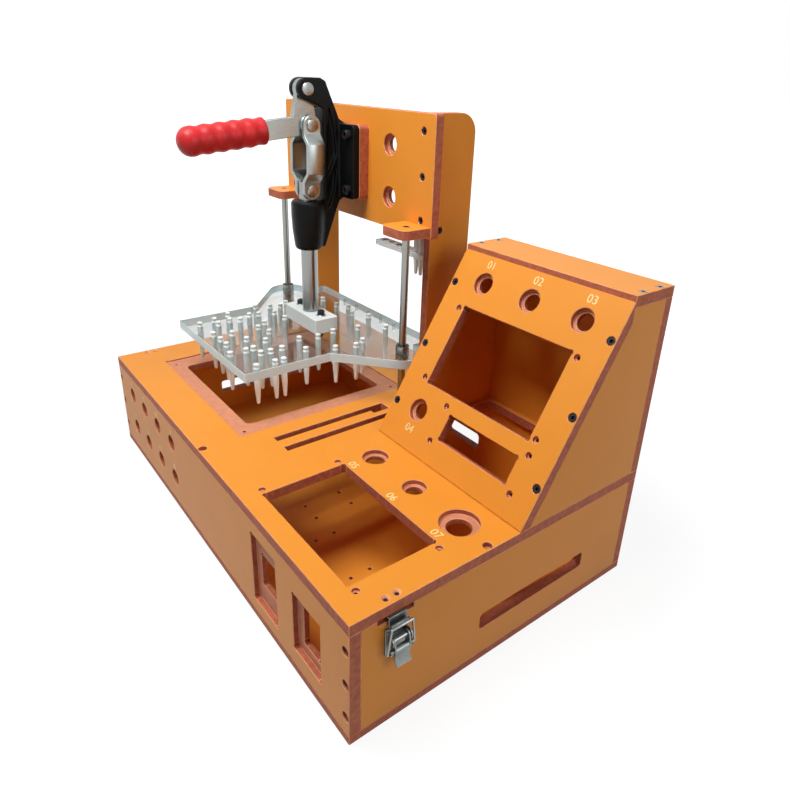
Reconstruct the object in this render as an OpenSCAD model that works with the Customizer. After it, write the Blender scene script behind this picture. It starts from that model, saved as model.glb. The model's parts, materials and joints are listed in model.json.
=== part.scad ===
// Bench fixture for testing circuit boards: a sheet laminate box with a hinged deck, a sloped
// control box, and a toggle clamp that presses a clear plate of push pins down on the board.
// Millimetres. +X is the operator's right, +Y the rear, +Z up. The origin is the middle of the underside.

/* [Sheet] */
// Thickness of the laminate sheet
sheet_t = 10; // [8:0.5:12]
// Thickness of the bottom plate
bottom_t = 8; // [6:0.5:12]
// Depth of the milled steps round holes and cut-outs
step_depth = 5; // [3:0.5:6]

/* [Base] */
// Width of the base
base_w = 530; // [510:1:600]
// Depth of the base
base_d = 324; // [316:1:380]
// Height of the base walls
wall_h = 98; // [92:1:130]

/* [Side walls] */
// Length of the hand slot
hand_slot_l = 130; // [100:1:160]
// Height of the hand slot
hand_slot_h = 16; // [14:1:26]
// Middle of the hand slot, behind the middle of the base
hand_slot_y = 30; // [0:1:40]
// Middle of the hand slot above the bottom plate
hand_slot_z = 35; // [25:1:45]

/* [Front wall] */
// Through bore of a jack hole
jack_bore = 12; // [8:0.5:14]
// Recess of a jack hole
jack_recess = 18; // [16:0.5:24]
// Distance between jack holes, sideways
jack_pitch_x = 44.5; // [30:0.5:46]
// Distance between jack holes, upwards
jack_pitch_z = 43.5; // [30:0.5:50]
// Middle of the jack holes, left of the middle of the base
jack_left = 150; // [140:1:160]
// Width of the power inlet recess
inlet_w = 44; // [40:1:50]
// Height of the power inlet recess
inlet_h = 72; // [60:1:76]
// Width of the power inlet cut-out
inlet_cut_w = 27; // [20:1:34]
// Height of the power inlet cut-out
inlet_cut_h = 34; // [24:1:50]
// Middle of the power inlet, right of the middle of the base
inlet_right = 134; // [120:1:140]
// Width of the port recess
port_w = 42; // [36:1:48]
// Height of the port recess
port_h = 58; // [50:1:70]
// Width of the port cut-out
port_cut_w = 24; // [18:1:30]
// Height of the port cut-out
port_cut_h = 40; // [30:1:46]
// Middle of the port, right of the middle of the base
port_right = 205; // [196:1:214]

/* [Rear wall] */
// Width of the cable openings
cable_open_w = 58; // [30:1:70]
// Height of the cable openings
cable_open_h = 20; // [14:1:30]
// Cable openings, left of the middle of the base
cable_open_left = 137; // [110:1:150]
// Cable openings, right of the middle of the base
cable_open_right = 36; // [20:1:60]

/* [Deck] */
// Middle of the press, left of the middle of the base
press_left = 110; // [106:1:114]
// Middle of the board well, left of the middle of the base
well_left = 109; // [106:1:112]
// Width of the board well
well_w = 218; // [190:1:224]
// Depth of the board well
well_d = 202; // [180:1:206]
// Middle of the board well, in front of the middle of the base
well_front = 17; // [14:1:20]
// Width of the ledge at the sides of the board well
ledge_side = 22; // [14:0.5:26]
// Width of the ledge at the front and rear of the board well
ledge_end = 17.5; // [12:0.5:24]
// Depth of the ledge below the deck
ledge_drop = 2.5; // [1:0.5:5]
// Width of the display window in the deck
deck_win_w = 134; // [110:1:140]
// Depth of the display window in the deck
deck_win_d = 83; // [60:1:86]
// Middle of the display window, right of the middle of the base
deck_win_right = 166.5; // [160:0.5:172]
// Middle of the display window, in front of the middle of the base
deck_win_front = 101.5; // [98:0.5:106]
// Display screw spacing, sideways
deck_win_screw_x = 147.5; // [147:0.5:152]
// Display screw spacing, front to rear
deck_win_screw_y = 77.5; // [60:0.5:84]
// Distance between the deck buttons
button_pitch = 60; // [54:1:64]
// Middle of the deck buttons, in front of the middle of the base
button_front = 29; // [27:0.5:32]
// Bore of the left deck button hole
left_button_bore = 19; // [12:0.5:22]
// Recess of the left deck button hole
left_button_recess = 25; // [24:0.5:30]
// Bore of the middle deck button hole
mid_button_bore = 16; // [12:0.5:19]
// Recess of the middle deck button hole
mid_button_recess = 22; // [20:0.5:26]
// Bore of the right deck button hole
right_button_bore = 22.5; // [16:0.5:30]
// Recess of the right deck button hole
right_button_recess = 35; // [32:0.5:40]
// Width of a cable slot
cable_slot_w = 8; // [5:0.5:10]
// Length of a cable slot
cable_slot_l = 132; // [80:1:140]
// Distance between the cable slots
cable_slot_pitch = 21.5; // [20:0.5:24]

/* [Control box] */
// Width of the control box
cbox_w = 197.5; // [190:0.5:205]
// Height of the control box above the deck
cbox_h = 182; // [175:1:200]
// Foot of the sloped panel, behind the middle of the base
cbox_foot = 1.5; // [0:0.5:5]
// Depth of the control box top
cbox_top_d = 53.5; // [48:0.5:60]
// Edge of the top panel that shows above the sloped panel
cbox_reveal = 5; // [2:0.5:8]
// Bore of a lamp hole
lamp_bore = 16; // [12:0.5:19]
// Recess of a lamp hole
lamp_recess = 22; // [20:0.5:26]
// Distance between the lamp holes
lamp_pitch = 59.5; // [50:0.5:62]
// Lamp holes up the slope
lamp_up = 178.5; // [176:0.5:184]
// Width of the panel window
panel_win_w = 133; // [110:1:138]
// Height of the panel window
panel_win_h = 83.5; // [60:0.5:86]
// Middle of the panel window up the slope
panel_win_up = 110; // [108:0.5:112]
// Width of the panel slot
panel_slot_w = 87; // [60:1:90]
// Height of the panel slot
panel_slot_h = 26; // [18:1:28]
// Middle of the panel slot up the slope
panel_slot_up = 39.5; // [38:0.5:42]

/* [Press frame] */
// Width of the cross plate
cross_w = 300; // [294:1:304]
// Height of the cross plate
cross_h = 121; // [115:1:140]
// Underside of the cross plate above the deck
cross_up = 182; // [180:1:200]
// Front of the cross plate, behind the middle of the base
cross_back = 82.8; // [80:0.2:88]
// Depth of an upright behind the cross plate
upright_d = 54.5; // [45:0.5:58]
// Distance between the uprights
upright_gap = 254; // [250:1:258]
// Radius of an upright's rear corner
upright_round = 20; // [5:1:30]
// Bore of a sensor hole in the cross plate
sensor_bore = 16; // [12:0.5:18]
// Recess of a sensor hole in the cross plate
sensor_recess = 22; // [20:0.5:26]
// Depth of the brace behind the cross plate
brace_d = 26; // [20:1:34]

/* [Guides] */
// Diameter of a guide rod
rod_d = 8; // [6:0.5:10]
// Distance between the guide rods
rod_gap = 262; // [258:1:264]
// Guide rods in front of the cross plate
rod_front = 16.8; // [15:0.2:20]
// Outside diameter of a linear bush
bush_d = 15; // [14:0.5:18]
// Length of a linear bush
bush_l = 27; // [22:1:32]
// Width of a rod lug
lug_w = 41; // [40:1:46]
// Depth of a rod lug
lug_d = 34; // [28:1:36]
// Underside of a rod lug above the underside of the cross plate
lug_up = 2.5; // [0:0.5:6]

/* [Clamp] */
// Plunger axis in front of the cross plate
clamp_front = 55.8; // [54:0.2:60]
// Upper pivot above the deck
pivot_up = 319; // [316:1:325]
// Upper pivot in front of the plunger axis
pivot_ahead = 3; // [2:0.5:4]
// Upper pivot to the elbow
arm_l = 36; // [33:0.5:38]
// Elbow to the lower pivot
link_l = 68.5; // [64:0.5:70]
// Elbow behind the plunger axis when locked
elbow_back = 1.4; // [0.6:0.2:2.4]
// Diameter of the plunger
plunger_d = 19; // [16:0.5:20]
// Thickness of the handle bar
bar_t = 8; // [5:0.5:9]
// Height of the handle bar
bar_h = 20; // [16:0.5:22]
// Length of the handle from the elbow to the grip
bar_l = 52; // [44:1:60]
// Length of the grip
grip_l = 91; // [80:1:120]
// Diameter of the grip in the middle
grip_d = 28; // [26:0.5:30]
// Droop of the locked handle in degrees
handle_droop = 6; // [0:0.5:8]
// Thickness of a link
link_t = 5; // [3:0.5:5]
// Width of a link
link_w = 20.5; // [17:0.5:21]
// Outward step in the middle of a link
link_bow = 9.5; // [5:0.5:11]
// Diameter of the pivot pins
pin_d = 9; // [6:0.5:10]
// Thickness of the spacer behind the clamp
spacer_t = 12; // [8:0.5:13]
// Width of the clamp flange
flange_w = 76; // [70:1:78]
// Height of the clamp flange
flange_h = 79; // [74:1:80]
// Thickness of the clamp flange
flange_t = 8; // [6:0.5:9]

/* [Press plate] */
// Thickness of the press plate
plate_t = 10; // [8:0.5:12]
// Underside of the press plate above the deck
plate_up = 46; // [42:1:52]
// Width of the front of the press plate
plate_w = 182; // [182:1:190]
// Front edge of the press plate, in front of the middle of the base
plate_front = 101; // [101:1:106]
// Where the press plate starts to widen, behind the middle of the base
plate_neck = -2; // [-8:1:4]
// Width of the rear of the press plate
plate_rear_w = 242; // [230:1:244]
// Rear edge of the press plate, behind the middle of the base
plate_back = 118; // [116:1:122]
// Radius of the ears round the guide rods
ear_r = 25; // [20:0.5:26]
// Length of the mounting block
block_l = 74; // [68:1:80]
// Depth of the mounting block
block_d = 30; // [26:1:32]
// Height of the mounting block
block_h = 17; // [14:1:20]
// Diameter of a push pin
push_d = 6.5; // [5:0.5:7]
// Length of a push pin above the plate
push_top = 5; // [4:0.5:8]
// Length of a push pin below the plate
push_tip = 30; // [24:1:34]

/* [Latches and hinges] */
// Latches behind the front of the base
latch_in = 39.5; // [36:0.5:44]
// Width of a latch base
latch_w = 20; // [18:0.5:24]
// Latch pivot below the deck sheet
latch_pivot_down = 19; // [17:0.5:22]
// Bail pivot below the latch pivot
latch_throw = 8.5; // [7:0.5:10]
// Diameter of the bail wire
bail_wire = 2; // [1.5:0.1:2.5]
// Width of a keeper
keeper_w = 16; // [12:0.5:16]
// Width of a hinge
hinge_w = 50; // [40:1:60]
// Hinges from the middle of the base
hinge_x = 190; // [150:1:200]
// Diameter of a hinge pin
hinge_pin_d = 3; // [2:0.5:3.5]

/* [Fits] */
// Clearance round a sliding or turning fit
run_gap = 0.06; // [0.02:0.01:0.1]
// Clearance between faces that pass each other
side_gap = 0.4; // [0.3:0.05:0.6]
// Clearance round a fixed pin or screw
seat_gap = 0.05; // [0.02:0.01:0.1]

/* [Hidden] */
$fn = 48;
eps = 0.5;

laminate = [0.93, 0.60, 0.18];
clear = [0.82, 0.90, 0.93, 0.45];
frosted = [0.92, 0.95, 0.96];
steel = [0.78, 0.79, 0.80];
zinc = [0.70, 0.74, 0.72];
black = [0.08, 0.08, 0.09];
red = [0.80, 0.10, 0.12];

// Levels and planes of the box
wall_x = base_w / 2;
wall_y = base_d / 2;
seam_z = bottom_t + wall_h;
deck_z = seam_z + sheet_t;
wall_mid_z = bottom_t + wall_h / 2;

// Screws: head radius, head height, shank radius
m3 = [3, 1.8, 1.5];
m4 = [3.5, 4, 2];
m5 = [4.25, 5, 2.5];
m6 = [5, 6, 3];
screw_bite = 16;

// Wall and bottom screws
corner_pitch = 32;
corner_sink = 6;
corner_levels = [for (k = [-1, 0, 1]) wall_mid_z + k * corner_pitch];
edge_pitch_x = 190;
edge_pitch_y = 80;
bottom_sites = concat(
    [for (sx = [-1, 0, 1], sy = [-1, 1]) [sx * edge_pitch_x, sy * (wall_y - sheet_t / 2)]],
    [for (sx = [-1, 1], sy = [-1, 1]) [sx * (wall_x - sheet_t / 2), sy * edge_pitch_y]]);
bottom_bite = 14;

// Board holes in the bottom plate: middle and spacing of each pattern
board_hole_r = 1.8;
board_patterns = [[96.5, -61, 66, 22], [19, -30, 25, 45]];

// Deck
press_x = -press_left;
well_x = -well_left;
well_y = -well_front;
well_hole_w = well_w - 2 * ledge_side;
well_hole_d = well_d - 2 * ledge_end;
nest_hole_r = 1.7;
relief_r = 2.5;
small_hole_r = 1.7;
small_sink_r = 3;
small_sink = 3;
cable_slot_x = 24;
cable_slot_y = 40;
cable_end_w = 14;
cable_end_l = 20;
locate_r = 2.5;
locate_sink_r = 4;
locate_sites = [[0, -wall_y + sheet_t / 2], [wall_x - sheet_t / 2, -30], [-wall_x + sheet_t / 2, -30]];

// Control box: the sloped panel runs from its foot on the deck to the reveal under the top's edge
cbox_x0 = wall_x - cbox_w;
cbox_mid = wall_x - cbox_w / 2;
cbox_top = deck_z + cbox_h;
cbox_edge_y = wall_y - cbox_top_d;
slope_rise = cbox_h - cbox_reveal;
slope = atan((cbox_edge_y - cbox_foot) / slope_rise);
slope_l = slope_rise / cos(slope);
deck_open_rim = 16;
panel_screw_up = [for (k = [0.182, 0.494, 0.826]) k * slope_l];
panel_win_screw = [145.5, 76];
panel_slot_screw = [104, 36];
panel_slot_right = 21.5;
extra_lamp_left = 61;
extra_lamp_up = 40.5;
top_screw_in = 15;
top_screw_pitch = 24;

// Press frame
cross_z0 = deck_z + cross_up;
cross_z1 = cross_z0 + cross_h;
cross_y1 = cross_back + sheet_t;
upright_x = upright_gap / 2;
upright_mid = upright_x + sheet_t / 2;
cross_screw_up = [for (k = [0.14, 0.5, 0.86]) cross_z0 + k * cross_h];
cross_round = 3;
sensor_x = 77;
sensor_pitch = 54;
sensor_z = cross_z0 + cross_h / 2 - 1;
foot_screw_pitch = 30;

// Guides
rod_x = rod_gap / 2;
rod_y = cross_back - rod_front;
rod_r = rod_d / 2;
rod_seat = 6;
lug_out = 18;
lug_round = 9;
lug_z0 = cross_z0 + lug_up;
lug_z1 = lug_z0 + sheet_t;

// Clamp: the lower pivot rides on the plunger axis, and the elbow stands past the line of the other two
axis_y = cross_back - clamp_front;
pivot_y = axis_y - pivot_ahead;
pivot_z = deck_z + pivot_up;
elbow_y = axis_y + elbow_back;
elbow_z = pivot_z - sqrt(arm_l * arm_l - (elbow_y - pivot_y) * (elbow_y - pivot_y));
link_rise = sqrt(link_l * link_l - elbow_back * elbow_back);
lower_z = elbow_z - link_rise;
flange_y = cross_back - spacer_t;
flange_z = sensor_z + 4;
flange_round = 5;
flange_bolt_x = 29;
flange_bolt_z = 58;
bolt_reach = 60;
ear_t = 6;
slot_half = bar_t / 2 + side_gap;
cheek_half = slot_half + ear_t;
cheek_r = 11.2;
web_half = 7;
frame_front = axis_y + elbow_back + link_w / 2 + 4;
barrel_top = lower_z - link_w / 2 - 1;
barrel_l = 55;
barrel_r = 19;
boss_half = bar_t / 2 + 1.6;
link_in = boss_half + side_gap;
link_bend = 10;
pin_reach = 40;
head_r = pin_d / 2 + 2.6;
head_h = 2;
grip_waves = 6;
grip_wave = 0.6;
grip_in = 0.6;

// Press plate
plate_z = deck_z + plate_up;
plate_top = plate_z + plate_t;
block_top = plate_top + block_h;
block_screw_x = 24;
spigot_r = 5;
spigot_l = 12;
rear_hole_r = 2;
rear_hole_pitch = 27.5;
rear_hole_in = 7;

// Push pin places, from the press axis and the middle of the base
push_sites = [
    [-60, -88], [-22, -87], [-4, -86], [14, -87], [40, -94], [84, -85], [-65, -68], [-51, -69], [-14, -68],
    [11, -62], [39, -67], [40, -76], [55, -66], [84, -64], [-55, -53], [-74, -47], [-50, -42], [56, -55],
    [84, -54], [55, -41], [-59, -26], [-56, -15], [-26, -22], [4, -31], [-15, -35], [26, -46], [41, -12],
    [72, -21], [-83, -6], [-51, 4], [-75, 10], [-70, 22], [-77, 34], [-28, 6], [47, 9], [86, 8], [42, 32],
    [92, 31], [84, 45], [48, 63], [-64, 82], [-35, 85], [-19, 93], [3, 84], [22, 96], [64, 92]];
rack_sites = [-6, -14, -22];

// Spare pin rack under the brace
rack_l = 93;
rack_d = 15;
rack_t = 6;
rack_tip = 19;
rack_y = cross_y1 + 4;
rack_pin_y = push_d / 2 + 1.5;
rack_hole_in = 8;
rack_hole_pitch = 14;
rack_hole_r = 4;
rack_drop = 30;
hanger_w = 28;

// Latches
latch_y = -wall_y + latch_in;
latch_plate_t = 1.5;
latch_ear_t = 1.2;
latch_ear_r = 4;
latch_pivot_x = 5.5;
latch_pivot_z = seam_z - latch_pivot_down;
bail_pivot_x = 7;
bail_pivot_z = latch_pivot_z - latch_throw;
latch_pin_r = 1.5;
lever_t = 1.4;
lever_half = latch_w / 2 - latch_ear_t - 1.2 - side_gap;
lever_round = 3.2;
lever_l = 24;
keeper_t = 1.5;
keeper_drop = 9;
keeper_lip = 4.5;
keeper_out = 6;
keeper_in = 14;
keeper_screw_in = 6.5;
keeper_screw_y = keeper_w * 0.31;
notch_w = 32;
notch_h = 4.5;
bail_top_x = keeper_out + 0.6 + bail_wire / 2;
bail_top_z = seam_z - keeper_drop + keeper_lip - bail_wire / 2;
bail_top_half = keeper_w / 2 + bail_wire + 1;
bail_low_half = bail_top_half + 3;

// Hinges
hinge_out = 3.4;
hinge_r = 3;
hinge_leaf_t = 1.5;
hinge_leaf_h = 26;
hinge_clear = hinge_r + 0.6;
hinge_mid_half = hinge_w / 6 - side_gap / 2;

// Shared shapes

// A block from one corner to the opposite one
module block(a, b) {
    translate(a) cube(b - a);
}

// A cylinder along X, Y or Z from a point
module along_x(p, l, r) {
    translate(p) rotate([0, 90, 0]) cylinder(h = l, r = r);
}

module along_y(p, l, r) {
    translate(p) rotate([-90, 0, 0]) cylinder(h = l, r = r);
}

module along_z(p, l, r) {
    translate(p) cylinder(h = l, r = r);
}

// A flat outline in Y and Z, given a width in X
module side_shape(x0, x1) {
    translate([x0, 0, 0]) rotate([90, 0, 90]) linear_extrude(x1 - x0) children();
}

// A flat outline in X and Z, given a depth in Y
module front_shape(y0, y1) {
    translate([0, y1, 0]) rotate([90, 0, 0]) linear_extrude(y1 - y0) children();
}

// A rectangle with round corners
module round_rect(w, h, r) {
    square([w - 2 * r, h], center = true);
    square([w, h - 2 * r], center = true);
    for (sx = [-1, 1], sy = [-1, 1]) {
        translate([sx * (w / 2 - r), sy * (h / 2 - r)]) circle(r);
    }
}

// A milled window: a rectangle with the cutter's relief in each corner
module milled_rect(w, h) {
    square([w, h], center = true);
    for (sx = [-1, 1], sy = [-1, 1]) {
        translate([sx * (w / 2 - relief_r * 0.7), sy * (h / 2 - relief_r * 0.7)]) circle(relief_r);
    }
}

// Four copies at the corners of a rectangle
module four(dx, dy) {
    for (sx = [-1, 1], sy = [-1, 1]) {
        translate([sx * dx / 2, sy * dy / 2]) children();
    }
}

// A bore through a sheet with a recess from its outer face, which lies at z = 0
module stepped_bore(bore, recess, t) {
    translate([0, 0, -t - eps]) cylinder(h = t + 2 * eps, d = bore);
    translate([0, 0, -step_depth]) cylinder(h = step_depth + eps, d = recess);
}

// A small screw hole with a flat sink from the outer face at z = 0
module sunk_hole(t) {
    translate([0, 0, -t - eps]) cylinder(h = t + 2 * eps, r = small_hole_r);
    translate([0, 0, -small_sink]) cylinder(h = small_sink + eps, r = small_sink_r);
}

// A socket cap screw, with its seat at z = 0 and its shank going down
module cap_screw(m, l) {
    difference() {
        cylinder(h = m[1], r = m[0]);
        translate([0, 0, m[1] * 0.4]) cylinder(h = m[1], r = m[0] * 0.52, $fn = 6);
    }
    translate([0, 0, -l]) cylinder(h = l, r = m[2]);
}

// A countersunk screw, with its face at z = 0
module sunk_screw(m, l) {
    translate([0, 0, -m[1]]) cylinder(h = m[1], r1 = m[2], r2 = m[0]);
    translate([0, 0, -l]) cylinder(h = l - m[1], r = m[2]);
}

// The hole for that screw
module sunk_screw_hole(m, l) {
    translate([0, 0, -m[1]]) cylinder(h = m[1], r1 = m[2] + seat_gap, r2 = m[0] + seat_gap);
    cylinder(h = eps, r = m[0] + seat_gap);
    translate([0, 0, -l - eps]) cylinder(h = l, r = m[2] + seat_gap);
}

// Places things on the sloped panel: x across, u up the slope, z out of the panel
module on_slope(x, u) {
    translate([x, cbox_foot + u * sin(slope), deck_z + u * cos(slope)]) rotate([90 - slope, 0, 0]) children();
}

// Base

module bottom_plate() {
    color(laminate) difference() {
        block([-wall_x, -wall_y, 0], [wall_x, wall_y, bottom_t]);
        for (s = bottom_sites) {
            translate([s[0], s[1], 0]) mirror([0, 0, 1]) sunk_screw_hole(m4, bottom_t + eps);
        }
        for (p = board_patterns) {
            translate([p[0], p[1], -eps]) four(p[2], p[3]) cylinder(h = bottom_t + 2 * eps, r = board_hole_r);
        }
    }
}

// Holes for the bottom screws in the foot of the walls
module bottom_taps() {
    for (s = bottom_sites) {
        along_z([s[0], s[1], bottom_t - eps], bottom_bite + eps, m4[2] + seat_gap);
    }
}

// Screw holes through the front or rear wall into the ends of the side walls
module corner_bores() {
    for (sx = [-1, 1], z = corner_levels) {
        translate([sx * (wall_x - sheet_t / 2), 0, z]) {
            along_y([0, -wall_y - eps, 0], corner_sink + eps, m4[0] + 0.5);
            along_y([0, -wall_y, 0], corner_sink + screw_bite + 2, m4[2] + seat_gap);
        }
    }
}

// A milled recess with a smaller cut-out, through the front wall
module stepped_cut(x, z, w, h, cut_w, cut_h) {
    translate([x, 0, z]) {
        front_shape(-wall_y - eps, -wall_y + step_depth) milled_rect(w, h);
        front_shape(-wall_y, -wall_y + sheet_t + eps) milled_rect(cut_w, cut_h);
    }
}

module front_wall() {
    color(laminate) difference() {
        block([-wall_x, -wall_y, bottom_t], [wall_x, -wall_y + sheet_t, seam_z]);
        corner_bores();
        bottom_taps();
        for (k = [-1.5, -0.5, 0.5, 1.5], sz = [-1, 1]) {
            translate([-jack_left + k * jack_pitch_x, -wall_y, wall_mid_z + 3 + sz * jack_pitch_z / 2])
                rotate([90, 0, 0]) stepped_bore(jack_bore, jack_recess, sheet_t);
        }
        stepped_cut(inlet_right, wall_mid_z, inlet_w, inlet_h, inlet_cut_w, inlet_cut_h);
        stepped_cut(port_right, wall_mid_z - 3, port_w, port_h, port_cut_w, port_cut_h);
    }
}

module rear_wall() {
    color(laminate) difference() {
        block([-wall_x, wall_y - sheet_t, bottom_t], [wall_x, wall_y, seam_z]);
        mirror([0, 1, 0]) corner_bores();
        bottom_taps();
        for (x = [-cable_open_left, cable_open_right]) {
            translate([x, 0, wall_mid_z - 8])
                front_shape(wall_y - sheet_t - eps, wall_y + eps) round_rect(cable_open_w, cable_open_h, 4);
        }
    }
}

module side_wall() {
    difference() {
        block([wall_x - sheet_t, -wall_y + sheet_t, bottom_t], [wall_x, wall_y - sheet_t, seam_z]);
        corner_bores();
        mirror([0, 1, 0]) corner_bores();
        bottom_taps();
        side_shape(wall_x - sheet_t - eps, wall_x + eps)
            translate([hand_slot_y, bottom_t + hand_slot_z]) round_rect(hand_slot_l, hand_slot_h, 3);
        block([wall_x - sheet_t - eps, latch_y - notch_w / 2, seam_z - notch_h],
              [wall_x + eps, latch_y + notch_w / 2, seam_z + eps]);
    }
}

module right_wall() {
    color(laminate) side_wall();
}

module left_wall() {
    color(laminate) mirror([1, 0, 0]) side_wall();
}

module wall_screws() {
    color(black) for (sx = [-1, 1], sy = [-1, 1], z = corner_levels) {
        translate([sx * (wall_x - sheet_t / 2), sy * (wall_y - corner_sink), z])
            rotate([-sy * 90, 0, 0]) cap_screw(m4, screw_bite);
    }
}

module bottom_screws() {
    color(steel) for (s = bottom_sites) {
        translate([s[0], s[1], 0]) mirror([0, 0, 1]) sunk_screw(m4, bottom_t + bottom_bite - 1);
    }
}

// Hinges: the base leaf has the two outer knuckles, the deck leaf the middle one

module knuckle(x0, x1) {
    along_x([x0, hinge_out, 0], x1 - x0, hinge_r);
}

module hinge_bore() {
    along_x([-hinge_w, hinge_out, 0], 2 * hinge_w, hinge_pin_d / 2 + run_gap);
}

module hinge_base_leaf(x) {
    outer = hinge_mid_half + side_gap;
    color(zinc) translate([x, wall_y, seam_z]) difference() {
        union() {
            block([-hinge_w / 2, 0, -hinge_leaf_h], [hinge_w / 2, hinge_leaf_t, -hinge_clear]);
            for (s = [-1, 1]) {
                x0 = s < 0 ? -hinge_w / 2 : outer;
                block([x0, 0, -hinge_clear], [x0 + hinge_w / 2 - outer, hinge_leaf_t, 0]);
                knuckle(x0, x0 + hinge_w / 2 - outer);
            }
        }
        hinge_bore();
        for (sx = [-1, 1], z = [-10, -20]) {
            along_y([sx * hinge_w * 0.3, -eps, z], hinge_leaf_t + 2 * eps, m3[2] + seat_gap);
        }
    }
}

module hinge_deck_leaf(x) {
    color(zinc) translate([x, wall_y, seam_z]) difference() {
        union() {
            block([-hinge_w / 2, 0, hinge_clear], [hinge_w / 2, hinge_leaf_t, sheet_t - side_gap]);
            block([-hinge_mid_half, 0, 0], [hinge_mid_half, hinge_leaf_t, hinge_clear]);
            knuckle(-hinge_mid_half, hinge_mid_half);
        }
        hinge_bore();
        for (sx = [-1, 1]) {
            along_y([sx * hinge_w * 0.3, -eps, (sheet_t + hinge_clear) / 2], hinge_leaf_t + 2 * eps, m3[2]);
        }
    }
}

module left_hinge_base_leaf() {
    hinge_base_leaf(-hinge_x);
}

module right_hinge_base_leaf() {
    hinge_base_leaf(hinge_x);
}

module left_hinge_deck_leaf() {
    hinge_deck_leaf(-hinge_x);
}

module right_hinge_deck_leaf() {
    hinge_deck_leaf(hinge_x);
}

module hinge_pins() {
    color(steel) for (s = [-1, 1]) {
        along_x([s * hinge_x - hinge_w / 2 - 1, wall_y + hinge_out, seam_z], hinge_w + 2, hinge_pin_d / 2);
    }
}

// Latches, drawn on the right wall and mirrored for the left one

module at_latch() {
    translate([wall_x, latch_y, 0]) children();
}

module latch_base() {
    ear_y = latch_w / 2 - latch_ear_t - 1.2;
    color(zinc) at_latch() difference() {
        union() {
            block([0, -latch_w / 2, bail_pivot_z - 16], [latch_plate_t, latch_w / 2, latch_pivot_z + 8]);
            for (s = [-1, 1]) {
                y0 = s < 0 ? -ear_y - latch_ear_t : ear_y;
                along_y([latch_pivot_x, y0, latch_pivot_z], latch_ear_t, latch_ear_r);
                block([0, y0, latch_pivot_z - latch_ear_r],
                      [latch_pivot_x, y0 + latch_ear_t, latch_pivot_z + latch_ear_r]);
            }
        }
        along_y([latch_pivot_x, -latch_w, latch_pivot_z], 2 * latch_w, latch_pin_r + seat_gap);
    }
}

module right_latch_base() {
    latch_base();
}

module left_latch_base() {
    mirror([1, 0, 0]) latch_base();
}

module latch_pins() {
    pin_half = latch_w / 2 - 0.8;
    color(steel) for (s = [0, 1]) {
        mirror([s, 0, 0]) at_latch()
            along_y([latch_pivot_x, -pin_half, latch_pivot_z], 2 * pin_half, latch_pin_r);
    }
}

// The strip from the latch pivot to the bail pivot
module lever_cheek() {
    turn = atan2(bail_pivot_x - latch_pivot_x, latch_throw);
    translate([latch_pivot_x, latch_pivot_z]) {
        circle(lever_round);
        rotate(turn) translate([-lever_round, -latch_throw / cos(turn)])
            square([2 * lever_round, latch_throw / cos(turn)]);
    }
    translate([bail_pivot_x, bail_pivot_z]) circle(lever_round);
}

// The blade that the finger lifts, with its tip bent outwards
module lever_blade() {
    x = bail_pivot_x + lever_round - 0.7;
    bend_z = bail_pivot_z - lever_l * 0.55;
    tip_z = bail_pivot_z - lever_l;
    polygon([[x, bail_pivot_z + 0.5], [x + 1, bend_z], [x + 5.5, tip_z], [x + 5.5 - lever_t, tip_z - 0.6],
             [x + 1 - lever_t, bend_z], [x - lever_t, bail_pivot_z + 0.5]]);
}

module latch_lever() {
    color(zinc) at_latch() difference() {
        union() {
            for (y0 = [-lever_half, lever_half - lever_t]) {
                front_shape(y0, y0 + lever_t) lever_cheek();
            }
            along_y([bail_pivot_x, -lever_half + 0.2, bail_pivot_z], 2 * lever_half - 0.4, lever_round - 0.3);
            front_shape(-lever_half + 0.4, lever_half - 0.4) lever_blade();
        }
        along_y([bail_pivot_x, -latch_w, bail_pivot_z], 2 * latch_w, bail_wire / 2 + run_gap);
        along_y([latch_pivot_x, -latch_w, latch_pivot_z], 2 * latch_w, latch_pin_r + run_gap);
    }
}

module right_latch_lever() {
    latch_lever();
}

module left_latch_lever() {
    mirror([1, 0, 0]) latch_lever();
}

// A straight piece of wire with a formed corner at each end
module wire(a, b, r) {
    v = b - a;
    translate(a) {
        sphere(r * 1.08);
        rotate([0, acos(v[2] / norm(v)), atan2(v[1], v[0])]) cylinder(h = norm(v), r = r);
    }
    translate(b) sphere(r * 1.08);
}

module latch_bail() {
    r = bail_wire / 2;
    low = [for (s = [-1, 1]) [bail_pivot_x, s * bail_low_half, bail_pivot_z]];
    top = [for (s = [-1, 1]) [bail_top_x, s * bail_top_half, bail_top_z]];
    color(steel) at_latch() {
        along_y(low[0], 2 * bail_low_half, r);
        wire(low[0], top[0], r);
        wire(low[1], top[1], r);
        along_y(top[0], 2 * bail_top_half, r);
    }
}

module right_latch_bail() {
    latch_bail();
}

module left_latch_bail() {
    mirror([1, 0, 0]) latch_bail();
}

// The keeper hangs from the deck through the notch and turns up into a lip
module keeper() {
    z = seam_z - keeper_drop;
    color(zinc) at_latch() difference() {
        front_shape(-keeper_w / 2, keeper_w / 2) polygon([
            [-keeper_in, seam_z], [1 + keeper_t, seam_z], [1 + keeper_t, z + keeper_t],
            [keeper_out - keeper_t, z + keeper_t], [keeper_out - keeper_t, z + keeper_lip],
            [keeper_out, z + keeper_lip], [keeper_out, z], [1, z], [1, seam_z - keeper_t],
            [-keeper_in, seam_z - keeper_t]]);
        for (s = [-1, 1]) {
            along_z([-keeper_screw_in, s * keeper_screw_y, seam_z - keeper_t - eps],
                    keeper_t + 2 * eps, m3[2] + seat_gap);
        }
    }
}

module right_keeper() {
    keeper();
}

module left_keeper() {
    mirror([1, 0, 0]) keeper();
}

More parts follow.
